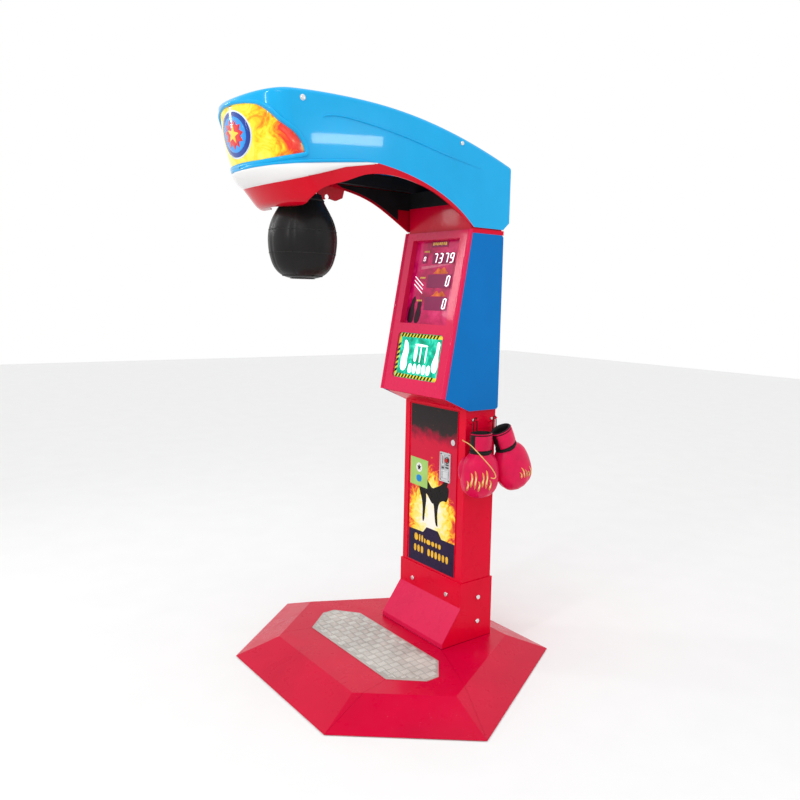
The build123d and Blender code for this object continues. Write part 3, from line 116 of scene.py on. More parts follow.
# ---- materials
class Tree:
    """Small helper round a material's node tree."""

    def __init__(self, name):
        self.material = bpy.data.materials.new(name)
        self.material.use_nodes = True
        self.nodes = self.material.node_tree.nodes
        self.links = self.material.node_tree.links
        self.shader = self.nodes["Principled BSDF"]
        self.coords = self.nodes.new("ShaderNodeTexCoord").outputs["Object"]

    def feed(self, socket, value):
        """Link an output to a socket, or set the socket's own value."""
        if hasattr(value, "is_output"):
            self.links.new(value, socket)
        else:
            socket.default_value = value

    def add(self, kind, inputs=(), **settings):
        node = self.nodes.new(kind)
        for key, value in settings.items():
            setattr(node, key, value)
        for key, value in dict(inputs).items():
            self.feed(node.inputs[key], value)
        return node

    def noise(self, scale, detail=3.0, rough=0.5, distortion=0.0, vector=None):
        values = {"Vector": vector or self.coords, "Scale": scale, "Detail": detail, "Roughness": rough,
                  "Distortion": distortion}
        return self.add("ShaderNodeTexNoise", values).outputs["Fac"]

    def ramp(self, value, stops):
        node = self.add("ShaderNodeValToRGB", {"Fac": value})
        elements = node.color_ramp.elements
        for i, (place, color) in enumerate(stops):
            element = elements[i] if i < 2 else elements.new(place)
            element.position = place
            element.color = (*color, 1) if len(color) == 3 else color
        return node.outputs["Color"]

    def span(self, value, low, high, to_low=0.0, to_high=1.0):
        values = {"Value": value, "From Min": low, "From Max": high, "To Min": to_low, "To Max": to_high}
        return self.add("ShaderNodeMapRange", values).outputs["Result"]

    def math(self, operation, a, b=0.0):
        return self.add("ShaderNodeMath", {0: a, 1: b}, operation=operation).outputs["Value"]

    def times(self, a, b):
        return self.math("MULTIPLY", a, b)

    def plus(self, a, b):
        return self.math("ADD", a, b)

    def swing(self, value, amount):
        """How far a noise value lies from its middle, times an amount."""
        return self.times(self.math("SUBTRACT", value, 0.5), amount)

    def mix(self, factor, a, b):
        """a and b are colours or outputs; sockets 0, 6 and 7 are the colour mix's factor, A and B."""
        node = self.add("ShaderNodeMix", data_type="RGBA")
        for key, value in ((0, factor), (6, a), (7, b)):
            self.feed(node.inputs[key], (*value, 1) if isinstance(value, tuple) else value)
        return node.outputs[2]

    def axes(self):
        return self.add("ShaderNodeSeparateXYZ", {"Vector": self.coords}).outputs

    def bump(self, height, strength, distance):
        node = self.add("ShaderNodeBump", {"Height": height, "Strength": strength, "Distance": distance})
        self.links.new(node.outputs["Normal"], self.shader.inputs["Normal"])

    def glow(self, tone, rough, strength, coat=0.0):
        """A print with light behind it."""
        self.set(Base_Color=tone, Roughness=rough, Coat_Weight=coat, Specular_IOR_Level=0.1,
                 Emission_Color=tone, Emission_Strength=strength)

    def set(self, **values):
        for key, value in values.items():
            socket = self.shader.inputs[key.replace("_", " ")]
            self.feed(socket, (*value, 1) if isinstance(value, tuple) else value)


def shade(color, factor):
    return tuple(min(1.0, c * factor) for c in color)


def surface(name, color, rough, metal=0.0, coat=0.0, vary=0.08, scale=5.0, peel=0.0, peel_scale=220.0):
    """Paint, plastic or metal: slow tone changes, uneven gloss and, with peel, a fine sprayed texture."""
    tree = Tree(name)
    slow = tree.noise(scale, 4, 0.55)
    tone = tree.ramp(slow, [(0.3, shade(color, 1 - vary)), (0.7, shade(color, 1 + vary))])
    gloss = tree.span(tree.noise(scale * 4, 5, 0.6), 0.3, 0.7, rough * 0.8, rough * 1.25)
    tree.set(Base_Color=tone, Roughness=gloss, Metallic=metal, Coat_Weight=coat, Coat_Roughness=0.06,
             Specular_IOR_Level=0.5 if metal else 0.08)
    if peel:
        tree.bump(tree.noise(peel_scale, 2, 0.5), peel, 0.0006)
    return tree.material


def scuffed_paint(name, color, rough=0.3):
    """Walked-on gloss paint: long fine scratches and pale chips over a slow tone change."""
    tree = Tree(name)
    slow = tree.noise(3.0, 4, 0.55)
    tone = tree.ramp(slow, [(0.32, shade(color, 0.90)), (0.7, shade(color, 1.08))])
    stretch = tree.add("ShaderNodeMapping",
                       {"Vector": tree.coords, "Scale": (9, 1.4, 9), "Rotation": (0, 0, 0.7)})
    marks = tree.noise(46, 2, 0.6, 0.6, stretch.outputs["Vector"])
    patches = tree.noise(5.5, 2, 0.5)
    marked = tree.times(tree.span(marks, 0.70, 0.78, 0, 1), tree.span(patches, 0.52, 0.62, 0, 0.55))
    tree.set(Base_Color=tree.mix(marked, tone, (0.80, 0.38, 0.42)), Coat_Weight=0.10, Coat_Roughness=0.12,
             Specular_IOR_Level=0.10)
    tree.set(Roughness=tree.span(tree.noise(14, 5, 0.6), 0.3, 0.7, rough * 0.75, rough * 1.3))
    tree.bump(tree.noise(120, 2, 0.5), 0.05, 0.0005)
    return tree.material


def leather(name, color, rough, grain, strength, coat=0.0):
    """Fine grain cells under soft creases, with uneven tone and gloss."""
    tree = Tree(name)
    cells = tree.add("ShaderNodeTexVoronoi", {"Vector": tree.coords, "Scale": grain},
                     feature="DISTANCE_TO_EDGE")
    creases = tree.noise(24, 6, 0.6, 0.8)
    tone = tree.ramp(tree.noise(9, 4, 0.6), [(0.3, shade(color, 0.8)), (0.7, shade(color, 1.2))])
    height = tree.plus(tree.times(cells.outputs["Distance"], 0.7), creases)
    tree.set(Base_Color=tone, Coat_Weight=coat, Coat_Roughness=0.2, Specular_IOR_Level=0.14)
    tree.set(Roughness=tree.span(creases, 0.3, 0.7, rough * 0.8, rough * 1.3))
    tree.bump(height, strength, 0.0012)
    return tree.material


# RED (base) and the column's brighter red_paint are one paint in two tones; the difference is painted light.
RED = (0.59, 0.0, 0.034)
PINK_RED = (0.70, 0.012, 0.082)
BLUE = (0.001, 0.375, 0.74)
SIDE_BLUE = (0.0008, 0.155, 0.48)


def dress_cad():
    """One procedural material for every CAD node that stays visible."""
    # red_paint is a brighter copy of the base's RED: painted light standing in for the lit side of the
    # column.
    red = surface("red_paint", (0.70, 0.0, 0.026), 0.30, coat=0.08, vary=0.06, peel=0.05)
    pink = surface("red_moulding_gloss", PINK_RED, 0.28, coat=0.16, vary=0.05, peel=0.04)
    jaw = surface("red_jaw_gloss", (0.58, 0.0, 0.014), 0.16, coat=0.2, vary=0.06, peel=0.03, peel_scale=90)
    blue = shell_paint()
    navy = surface("blue_side_paint", SIDE_BLUE, 0.38, coat=0.03, vary=0.05, peel=0.04)
    white = surface("white_lip_gloss", (0.80, 0.795, 0.79), 0.14, coat=0.3, vary=0.03, peel=0.03,
                    peel_scale=60)
    black = surface("black_frame_paint", (0.016, 0.016, 0.018), 0.5, vary=0.25, peel=0.1)
    board = surface("black_board", (0.012, 0.012, 0.013), 0.6, vary=0.35, scale=12, peel=0.2, peel_scale=500)
    rubber = surface("foot_rubber", (0.02, 0.02, 0.02), 0.8, vary=0.2, peel=0.25, peel_scale=300)
    # The plate's grey is kept darker than the bars' as painted shade in the gaps between them.
    tread = surface("tread_sheet_grey", (0.44, 0.42, 0.39), 0.42, metal=0.3, vary=0.2, scale=9, peel=0.08)
    bright = surface("polished_steel", (0.72, 0.72, 0.73), 0.16, metal=1.0, vary=0.08, scale=30, peel=0.03)
    brushed = surface("brushed_steel", (0.55, 0.55, 0.57), 0.3, metal=1.0, vary=0.15, scale=24, peel=0.1)
    plastic = surface("black_plastic", (0.025, 0.025, 0.026), 0.45, vary=0.2, scale=16, peel=0.2,
                      peel_scale=600)
    button = surface("button_plastic", (0.55, 0.02, 0.02), 0.3, vary=0.1, scale=40, peel=0.05)
    zinc = surface("zinc_sheet", (0.50, 0.50, 0.47), 0.35, metal=0.9, vary=0.25, scale=40, peel=0.1)
    iron = surface("bearing_iron", (0.07, 0.07, 0.075), 0.55, metal=0.6, vary=0.2, scale=30, peel=0.4)
    circuit = surface("circuit_board", (0.02, 0.16, 0.05), 0.4, vary=0.3, scale=60, peel=0.3)
    looks = [
        (red, "column_post column_boot coin_door rear_door cabinet_collar door_hinge rear_hinge"),
        (red, "cabinet_floor glove_rack"), (pink, "kick_panel bezel"), (jaw, "jaw_shell striker_plate"),
        (blue, "head_shell"),
        (navy, "side_panel_left side_panel_right"), (white, "lip_band"), (board, "hood_liner"),
        (black, "base_frame foot_plate head_frame pivot_brackets latch_bracket ball_collar"),
        (rubber, "base_feet rest_bumper"), (tread, "tread_plate"),
        (brushed, "tread_screws coin_faceplate swing_arm"), (button, "reject_button"),
        (bright, "boot_bolts dome_screws door_lock rear_lock pivot_shaft latch_plunger return_flap"),
        (plastic, "coin_mech speaker mains_inlet hit_sensor"),
        (zinc, "cash_box latch_solenoid power_supply"),
        (iron, "pivot_bearings"), (circuit, "control_board"), (score_print(), "score_board"),
        (digit_glass(), "score_digits"), (lamp_print(), "led_panel"), (marquee_print(), "marquee_panel"),
        (lamp_print(), "marquee_light"),
        (scuffed_paint("base_red_paint", RED),
         "base_panel_front base_panel_rear base_panels_front_side base_panels_rear_side"),
    ]
    for material, names in looks:
        for name in names.split():
            paint(NODES[name], material)


def paint(obj, material):
    obj.data.materials.clear()
    obj.data.materials.append(material)


def shell_paint():
    """Gloss blue outside; the shell's inner walls are the red of the jaw."""
    tree = Tree("blue_moulding_gloss")
    slow = tree.noise(5.0, 4, 0.55)
    tone = tree.ramp(slow, [(0.3, shade(BLUE, 0.95)), (0.7, shade(BLUE, 1.05))])
    x, y, z = tree.axes()
    wall, arch_top, front, back = 0.2105, 1.90, -0.35, 0.37
    inner = tree.math("LESS_THAN", tree.math("ABSOLUTE", x), wall)
    low = tree.math("LESS_THAN", z, arch_top)
    reach = tree.times(tree.math("GREATER_THAN", y, front), tree.math("LESS_THAN", y, back))
    inside = tree.times(tree.times(inner, low), reach)
    tree.set(Base_Color=tree.mix(inside, tone, (0.52, 0.0005, 0.016)), Coat_Weight=0.34, Coat_Roughness=0.03,
             Specular_IOR_Level=0.12)
    tree.set(Roughness=tree.span(tree.noise(20, 5, 0.6), 0.3, 0.7, 0.14, 0.2))
    tree.bump(tree.noise(26, 2, 0.5), 0.10, 0.002)
    return tree.material


def score_print():
    """Crimson printed board with darker blotches, lit from behind."""
    tree = Tree("score_board_print")
    cloud = tree.noise(14, 5, 0.6, 0.4)
    tone = tree.ramp(cloud, [(0.30, (0.22, 0.0, 0.035)), (0.52, (0.52, 0.0, 0.09)),
                             (0.75, (0.70, 0.03, 0.16))])
    tree.glow(tone, 0.25, 0.2, coat=0.1)
    return tree.material


def digit_glass():
    """Dark crimson window with fine upright lines."""
    tree = Tree("digit_window")
    lines = tree.add("ShaderNodeTexWave", {"Vector": tree.coords, "Scale": 130.0, "Distortion": 0.0},
                     bands_direction="X")
    tone = tree.mix(tree.times(lines.outputs["Fac"], 0.5), (0.20, 0.004, 0.055), (0.34, 0.01, 0.12))
    tree.glow(tone, 0.3, 0.1, coat=0.1)
    return tree.material


def lamp_print():
    """Green lamp face with paler clouds."""
    tree = Tree("lamp_green_print")
    cloud = tree.noise(26, 3, 0.55, 0.9)
    tone = tree.ramp(cloud, [(0.34, (0.0, 0.20, 0.11)), (0.55, (0.0, 0.42, 0.27)),
                             (0.74, (0.10, 0.66, 0.46))])
    tree.glow(tone, 0.3, 0.6)
    return tree.material


def marquee_print():
    """Yellow in front, torn orange and red flames towards the back and the top."""
    tree = Tree("marquee_flames")
    x, y, z = tree.axes()
    back = tree.span(y, -0.60, -0.455)
    high = tree.span(z, 1.87, 2.05)
    torn = tree.noise(16, 7, 0.62, 1.6)
    heat = tree.plus(tree.times(back, 0.70), tree.times(high, 0.30))
    heat = tree.plus(heat, tree.swing(torn, 1.15))
    tone = tree.ramp(heat, [(0.02, (1.0, 0.86, 0.14)), (0.30, (0.98, 0.66, 0.02)),
                            (0.46, (0.95, 0.28, 0.01)),
                            (0.62, (0.75, 0.03, 0.02)), (0.85, (0.80, 0.10, 0.07)),
                            (0.98, (0.95, 0.55, 0.22))])
    tree.glow(tone, 0.12, 0.10, coat=0.3)
    tree.set(Coat_Roughness=0.03)
    return tree.material


# ---- mesh helpers
def piece(name, verts, faces, body, material, slot, smooth=True):
    mesh = bpy.data.meshes.new(name)
    mesh.from_pydata([tuple(v) for v in verts], [], faces)
    mesh.update()
    return dress(bpy.data.objects.new(name, mesh), body, material, slot, smooth)


def dress(obj, body, material, slot, smooth=True):
    """Link a piece, give it its material, and let it ride its body."""
    bpy.context.scene.collection.objects.link(obj)
    obj.data.materials.append(material)
    for polygon in obj.data.polygons:
        polygon.use_smooth = smooth
    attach(obj, body)
    return obj


def loft(rings, closed_ends=True):
    """Faces over rings of equal length, as (verts, faces)."""
    count = len(rings[0])
    verts = [p for ring in rings for p in ring]
    faces = []
    for i in range(len(rings) - 1):
        for j in range(count):
            k = (j + 1) % count
            faces.append((i * count + j, i * count + k, (i + 1) * count + k, (i + 1) * count + j))
    if closed_ends:
        faces.append(tuple(reversed(range(count))))
        faces.append(tuple(range((len(rings) - 1) * count, len(rings) * count)))
    return verts, faces


def tree_of(obj):
    """A search tree over an object's surface."""
    mesh = obj.data
    return BVHTree.FromPolygons([v.co for v in mesh.vertices], [p.vertices for p in mesh.polygons])


def slab(outlines, place, thickness):
    """Closed thin plates over 2D outlines; place(u, v, n) gives the 3D point."""
    verts, faces = [], []
    for outline in outlines:
        flat = [Vector((u, v, 0)) for u, v in outline]
        triangles = tessellate_polygon([flat])
        start, count = len(verts), len(outline)
        verts += [place(u, v, thickness) for u, v in outline] + [place(u, v, 0) for u, v in outline]
        for a, b, c in triangles:
            faces.append((start + a, start + b, start + c))
            faces.append((start + count + c, start + count + b, start + count + a))
        for i in range(count):
            k = (i + 1) % count
            faces.append((start + i, start + k, start + count + k, start + count + i))
    return verts, faces


def oriented(obj):
    """Make the faces of a closed mesh point outwards."""
    mesh = bmesh.new()
    mesh.from_mesh(obj.data)
    bmesh.ops.recalc_face_normals(mesh, faces=mesh.faces)
    mesh.to_mesh(obj.data)
    mesh.free()
    return obj


def lofted(name, rings, body, material, slot):
    return oriented(piece(name, *loft(rings), body, material, slot))


def plates(name, outlines, place, thickness, body, material, slot):
    verts, faces = slab(outlines, place, thickness)
    return oriented(piece(name, verts, faces, body, material, slot, smooth=False))


def thicken(obj, thickness):
    obj.modifiers.new("thick", "SOLIDIFY").thickness = thickness


def rectangle(u0, u1, v0, v1):
    return [(u0, v0), (u1, v0), (u1, v1), (u0, v1)]


def oval(u, v, half_u, half_v, count):
    turns = [2 * math.pi * i / count for i in range(count)]
    return [(u + half_u * math.cos(a), v + half_v * math.sin(a)) for a in turns]


def circle(u, v, radius, count):
    return oval(u, v, radius, radius, count)


def between(line, at):
    """The value at a place, by straight runs between (place, value) pairs."""
    for (place0, value0), (place1, value1) in zip(line, line[1:]):
        if at <= place1:
            break
    return value0 + (value1 - value0) * (at - place0) / (place1 - place0)


def rounded(outline, times=2):
    """Cut the corners of a closed outline again and again, which rounds it."""
    for _ in range(times):
        cut = []
        for i, (ax, ay) in enumerate(outline):
            bx, by = outline[(i + 1) % len(outline)]
            cut += [(ax * 0.75 + bx * 0.25, ay * 0.75 + by * 0.25),
                    (ax * 0.25 + bx * 0.75, ay * 0.25 + by * 0.75)]
        outline = cut
    return outline


# ---- the bezel's leaning plane
BEZEL_LOW = Vector(mm(0, 147, 1067))
BEZEL_UP = Vector((0, 115, 644)).normalized()
BEZEL_OUT = Vector((1, 0, 0)).cross(BEZEL_UP)


def on_bezel(lift):
    """place() for things at a height over the leaning plane; u and v are millimetres."""
    def place(u, v, n):
        return BEZEL_LOW + Vector((u / 1000, 0, 0)) + BEZEL_UP * (v / 1000) + BEZEL_OUT * ((lift + n) / 1000)
    return place


SEGMENTS = {"0": "abcdef", "3": "abgcd", "7": "abc", "9": "abcdfg"}


def digit(char, u, v, width, height, thick):
    """Outlines of one seven-segment figure with its lower left corner at (u, v), slanted a little."""
    half = height / 2
    bars = {
        "a": (thick, width - thick, height - thick, height), "d": (thick, width - thick, 0, thick),
        "g": (thick, width - thick, half - thick / 2, half + thick / 2),
        "f": (0, thick, half, height - thick / 2),
        "e": (0, thick, thick / 2, half), "b": (width - thick, width, half, height - thick / 2),
        "c": (width - thick, width, thick / 2, half),
    }
    shapes = []
    for key in SEGMENTS[char]:
        u0, u1, v0, v1 = bars[key]
        shapes.append([(u + a + 0.14 * b, v + b) for a, b in rectangle(u0, u1, v0 + 0.6, v1 - 0.6)])
    return shapes


def displays():
    """Figures and printed art in the score windows, and the lamp's border and shapes."""
    def shown(name, shapes, place, thick, material, slot="score_red"):
        plates(name, shapes, place, thick, "machine", material, slot)

    over_glass, on_board, face, over_face = on_bezel(-12.9), on_bezel(-15.2), on_bezel(1.15), on_bezel(1.36)
    lit = Tree("lit_segments")
    lit.set(Base_Color=lit.ramp(lit.noise(60), [(0.3, (0.90, 0.82, 0.86)), (0.7, (1.0, 0.96, 0.97))]),
            Roughness=0.3, Emission_Color=(1.0, 0.90, 0.94), Emission_Strength=0.9)
    shapes = []
    for char, left in zip("7379", (-27, 8, 43, 78)):
        shapes += digit(char, left, 531, 25, 42, 5.6)
    shapes += digit("0", -88, 541, 13, 20, 3.5)
    shapes += digit("0", 76, 437, 22, 45, 5.6)
    shapes += digit("0", 76, 346, 22, 45, 5.6)
    shown("score_segments", shapes, over_glass, 0.5, lit.material)

    gold = surface("board_gold_print", (0.80, 0.52, 0.10), 0.35, vary=0.3, scale=60)
    dark = surface("board_dark_print", (0.030, 0.006, 0.016), 0.35, vary=0.3, scale=60)
    amber = surface("board_amber_print", (0.78, 0.14, 0.03), 0.35, vary=0.5, scale=45)
    marks = [rectangle(-40 + 13 * i, -31 + 13 * i, 605 + (i % 2) * 1.5, 617) for i in range(7)]
    shown("title_marks", marks, over_glass, 0.4, gold)
    bars = [rectangle(-92 + 9 * i, -86 + 9 * i, v, v + 7) for v in (578, 470, 376) for i in range(4)]
    shown("row_marks", bars, on_board, 0.4, gold)
    flames = [rounded([(-20, 489), (0, 497), (18, 518), (34, 502), (52, 520), (70, 498), (90, 489)]),
              rounded([(-10, 398), (12, 404), (28, 425), (46, 406), (60, 424), (84, 404), (96, 398)])]
    shown("board_flames", flames, on_board, 0.3, amber)
    tall = [(-138, 286), (-140, 330), (-128, 362), (-124, 384), (-106, 400), (-98, 380), (-104, 356),
            (-96, 330), (-98, 286)]
    short = [(-92, 286), (-90, 324), (-82, 350), (-84, 372), (-66, 382), (-54, 366), (-58, 344), (-50, 330),
             (-60, 286)]
    crowd = [rounded(tall, 1), rounded(short, 1)]
    shown("board_silhouette", crowd, on_board, 0.35, dark, "score_dark")
    streaks = [[(-128, 446 + 16 * i), (-66, 408 + 16 * i), (-65, 411 + 16 * i), (-127, 449 + 16 * i)]
               for i in (0, 1, 2)]
    shown("board_streaks", streaks, on_board, 0.3, lit.material)
    band = [[(-96, 508), (-20, 514), (96, 528), (96, 532), (-96, 520)]]
    shown("board_band", band, on_board, 0.25,
          surface("board_pale_print", (0.75, 0.16, 0.26), 0.35, vary=0.2, scale=40))

    # hazard stripes round the lamp, and pale shapes on its face
    low, high, half = 57.8, 241.2, 145.2
    width, pitch = 16.0, 21.0
    yellow = surface("hazard_yellow", (0.80, 0.78, 0.05), 0.35, vary=0.1, scale=50)
    black = surface("hazard_black", (0.012, 0.014, 0.010), 0.35, vary=0.2, scale=50)
    border = [rectangle(-half + 6, half - 6, low + 1, low + width),
              rectangle(-half + 6, half - 6, high - width, high - 1),
              rectangle(-half + 1, -half + width, low + width, high - width)]
    shown("hazard_border", border, face, 0.2, yellow, "lamp_green")
    stripes = []
    count = int((2 * half - 20) / pitch)
    for i in range(count):
        u = -half + 10 + i * pitch
        for v0 in (low + 1, high - width):
            stripes.append([(u, v0), (u + 11, v0), (u + 20, v0 + width - 1), (u + 9, v0 + width - 1)])
    for i in range(int((high - low - 2 * width - 6) / pitch)):
        v = low + width + 3 + i * pitch
        stripes.append([(-half + 1, v), (-half + width, v + 9), (-half + width, v + 20),
                        (-half + 1, v + 11)])
    shown("hazard_stripes", stripes, over_face, 0.2, black, "lamp_green")
    glow = Tree("lamp_white_print")
    glow.set(Base_Color=glow.ramp(glow.noise(40), [(0.3, (0.75, 1.0, 0.92)), (0.7, (1, 1, 1))]),
             Roughness=0.3, Emission_Color=(0.85, 1.0, 0.95), Emission_Strength=0.8)
    shapes = [rounded([(-112, 92), (-82, 84), (-66, 108), (-74, 140), (-66, 172), (-84, 210), (-106, 214),
                       (-100, 176), (-112, 140)]),
              rounded([(96, 96), (126, 90), (132, 130), (124, 170), (130, 214), (108, 216), (112, 170),
                       (92, 130)])]
    for i in range(5):
        left = -56 + i * 30
        shapes.append(rounded([(left, 80), (left + 24, 80), (left + 24, 112), (left + 12, 122),
                               (left, 112)]))
    shown("lamp_shapes", shapes, face, 0.3, glow.material, "lamp_green")
    outline = [rounded([(-30, 130), (-10, 126), (-8, 190), (-30, 196)]), rounded(rectangle(8, 16, 126, 196)),
               rounded(rectangle(44, 52, 126, 190)), rounded([(-30, 192), (54, 190), (54, 198), (-30, 202)])]
    shown("lamp_lines", outline, face, 0.3, glow.material, "lamp_green")


def bezel_edges():
    """Rolled edges down both sides of the bezel, in a paler pink than the bezel: a painted highlight on the
    rounded edges.
    """
    # Paler pink than the bezel's own red: painted highlight along the rolled edges.
    pink = surface("red_edge_painted_highlight", (0.78, 0.018, 0.09), 0.22, coat=0.3, vary=0.05, peel=0.03)
    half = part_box("bezel")[1][0] * 1000 - 4.5
    place = on_bezel(5.2)
    for side, tag in ((1, "right"), (-1, "left")):
        path = [place(side * half, v, 0) * 1000 for v in (7, 120, 240, 360, 480, 600, 646)]
        tube("bezel_edge_" + tag, path, 4.2, "machine", pink, "red_moulding")


# ---- door graphic
def on_door(lift):
    """place() for things at a height over the door's face; u and v are millimetres."""
    face = 258.6

    def place(u, v, n):
        return Vector(mm(u, face - (lift + n), v))
    return place


def door_art():
    """The printed door: flames under a dark sky, a kicking figure, rows of marks and a sticker."""
    def printed(name, outlines, lift, material, thickness=0.2):
        plates(name, outlines, on_door(lift), thickness, "front_door", material, "red_steel")

    tree = Tree("door_print")
    x, y, z = tree.axes()
    edge = tree.noise(22, 6, 0.65, 0.5)
    fade = tree.plus(tree.span(z, 0.80, 0.97), tree.swing(edge, 0.7))
    ground = tree.ramp(fade, [(0.30, (0.60, 0.006, 0.04)), (0.50, (0.32, 0.004, 0.03)),
                              (0.66, (0.030, 0.017, 0.018)), (0.9, (0.020, 0.016, 0.017))])
    specks = tree.noise(150, 4, 0.6)
    sparks = tree.span(specks, 0.70, 0.74, 0.0, 0.8)
    ground = tree.mix(sparks, ground, (0.80, 0.25, 0.18))
    # flames: hottest along the middle line of the lower half
    across = tree.math("ABSOLUTE", tree.math("SUBTRACT", x, -0.005))
    torn = tree.noise(19, 6, 0.62, 1.8)
    body = tree.math("SUBTRACT", tree.span(z, 0.80, 0.60), tree.times(across, 5.2))
    body = tree.plus(body, tree.swing(torn, 1.3))
    hot = tree.ramp(body, [(0.10, (0.62, 0.01, 0.03)), (0.26, (0.90, 0.22, 0.02)),
                           (0.40, (0.98, 0.72, 0.03)),
                           (0.66, (0.99, 0.88, 0.30)), (0.86, (0.97, 0.93, 0.82))])
    below = tree.span(z, 0.815, 0.79)
    strong = tree.times(tree.span(body, 0.05, 0.2), below)
    tree.set(Base_Color=tree.mix(strong, ground, hot), Roughness=0.28, Coat_Weight=0.08, Coat_Roughness=0.1,
             Specular_IOR_Level=0.1)
    left, right, foot, head = -150, 156, 327.5, 1005.5
    printed("door_graphic", [rectangle(left, right, foot, head)], 0.02, tree.material, 0.25)

    navy = surface("door_navy_print", (0.022, 0.012, 0.045), 0.3, vary=0.2, scale=20)
    printed("door_band", [[(left, foot), (right, foot), (right, 464), (72, 464), (48, 492), (-28, 492),
                           (-52, 466), (left, 464)]], 0.3, navy)
    black = surface("door_black_print", (0.012, 0.010, 0.010), 0.3, vary=0.2, scale=20)
    figure = [(-59, 512), (-46, 516), (-42, 560), (-34, 610), (-38, 640), (-18, 622), (4, 600), (16, 604),
              (22, 560),
              (30, 516), (46, 510), (44, 524), (40, 570), (50, 612), (74, 628), (98, 626), (110, 650),
              (112, 686),
              (98, 690), (106, 706), (98, 722), (82, 722), (76, 704), (62, 690), (30, 676), (4, 664),
              (-20, 684), (-40, 706), (-62, 704), (-86, 700), (-88, 672), (-82, 640), (-62, 600), (-58, 560)]
    printed("door_figure", [rounded(figure, 1)], 0.3, black)
    gold = surface("door_gold_print", (0.90, 0.50, 0.04), 0.3, vary=0.2, scale=30)
    rows = []
    start = -110
    for i, wide in enumerate((24, 10, 12, 10, 26, 18, 14, 16)):
        rows.append(rounded(rectangle(start, start + wide, 420, 450 if i < 3 else 440), 1))
        start += wide + 7
    for i in range(9):
        gap = 22 if i > 2 else 0
        rows.append(rounded(rectangle(-112 + 24 * i + gap, -96 + 24 * i + gap, 372, 402), 1))
    printed("door_marks", rows, 0.55, gold)

    green = surface("sticker_green", (0.36, 0.60, 0.16), 0.4, vary=0.08, scale=20)
    printed("door_sticker", [[(-149, 660), (-30, 656), (-28, 774), (-148, 778)]], 0.56, green, 0.3)
    white = surface("sticker_white", (0.80, 0.82, 0.80), 0.4, vary=0.08, scale=30)
    blue = surface("sticker_blue", (0.02, 0.25, 0.62), 0.4, vary=0.08, scale=30)
    disc_u, disc_v = -88, 738
    printed("sticker_disc", [circle(disc_u, disc_v, 20, 24)], 0.9, white)
    tips = [(i * math.pi / 5, 7 if i % 2 else 15) for i in range(10)]
    printed("sticker_star", [[(disc_u + r * math.sin(a), disc_v + r * math.cos(a)) for a, r in tips]], 1.12,
            black)
    printed("sticker_block", [rounded(rectangle(-106, -70, 676, 706))], 0.9, blue)


# ---- hood
def hood_beads():
    """Swage lines on the hood's sides, the rolled rim round the marquee and the edge over the lip."""
    blue = bpy.data.materials["blue_moulding_gloss"]

    def bead(name, points, radius, **shape):
        tube(name, points, radius, "machine", blue, "blue_moulding", **shape)

    def mirrored(points):
        return [(-x, y, z) for x, y, z in reversed(points)]

    line = [(-392, 2014), (-386, 2022), (-334, 2031), (-268, 2028), (-146, 2016), (-17, 1996), (132, 1964),
            (293, 1938)]
    for side, name in ((1, "swage_right"), (-1, "swage_left")):
        bead(name, [(side * (HOOD_HALF + 0.2), y, z) for y, z in line], 3.6, taper=0.15)
    upper = [(-452, 1897), (-462, 1925), (-480, 1947), (-508, 1966), (-534, 1982), (-552, 2000),
             (-568, 2020), (-592, 2038), (-618, 2047)]
    lower = [(-612, 1865), (-590, 1867), (-560, 1870), (-526, 1877), (-497, 1884), (-470, 1891),
             (-452, 1897)]
    ring = [on_hood(y, z) for y, z in offset_line(lower, 6) + offset_line(upper, 6)]
    ahead = -700
    bead("marquee_rim", ring + [on_hood(ahead, 2050)] + mirrored(ring) + [on_hood(ahead, 1862)], 7.5,
         closed=True)
    edge = [(-190, 1903), (-250, 1898), (-317, 1889), (-384, 1880), (-450, 1870), (-480, 1865), (-514, 1861),
            (-550, 1857), (-565, 1856)]
    right = [on_hood(y, z) for y, z in edge]
    bead("lip_overhang", right + [on_hood(ahead, 1853)] + mirrored(right), 6.0, taper=0.2)


def offset_line(points, gap):
    """The side-view line moved to its right-hand side (seen along its run) by a gap."""
    moved = []
    for i, (y, z) in enumerate(points):
        (ay, az), (by, bz) = points[max(i - 1, 0)], points[min(i + 1, len(points) - 1)]
        size = math.hypot(by - ay, bz - az)
        moved.append((y + gap * (bz - az) / size, z - gap * (by - ay) / size))
    return moved


def nose_tip(z):
    """Y of the hood's nose at a height."""
    return between([(1741, -474), (1850, -571), (2000, -614), (2110, -622)], z)


NOSE_DEPTH = 118
HOOD_HALF = 212


def on_hood(y, z):
    """The point of the hood's right side at this y and z; ahead of the nose it's the tip."""
    reach = max(0.0, min(1.0, (nose_tip(z) + NOSE_DEPTH - y) / NOSE_DEPTH))
    x = HOOD_HALF * math.sqrt(1 - reach ** 2)
    return (x, max(y, nose_tip(z)), z)


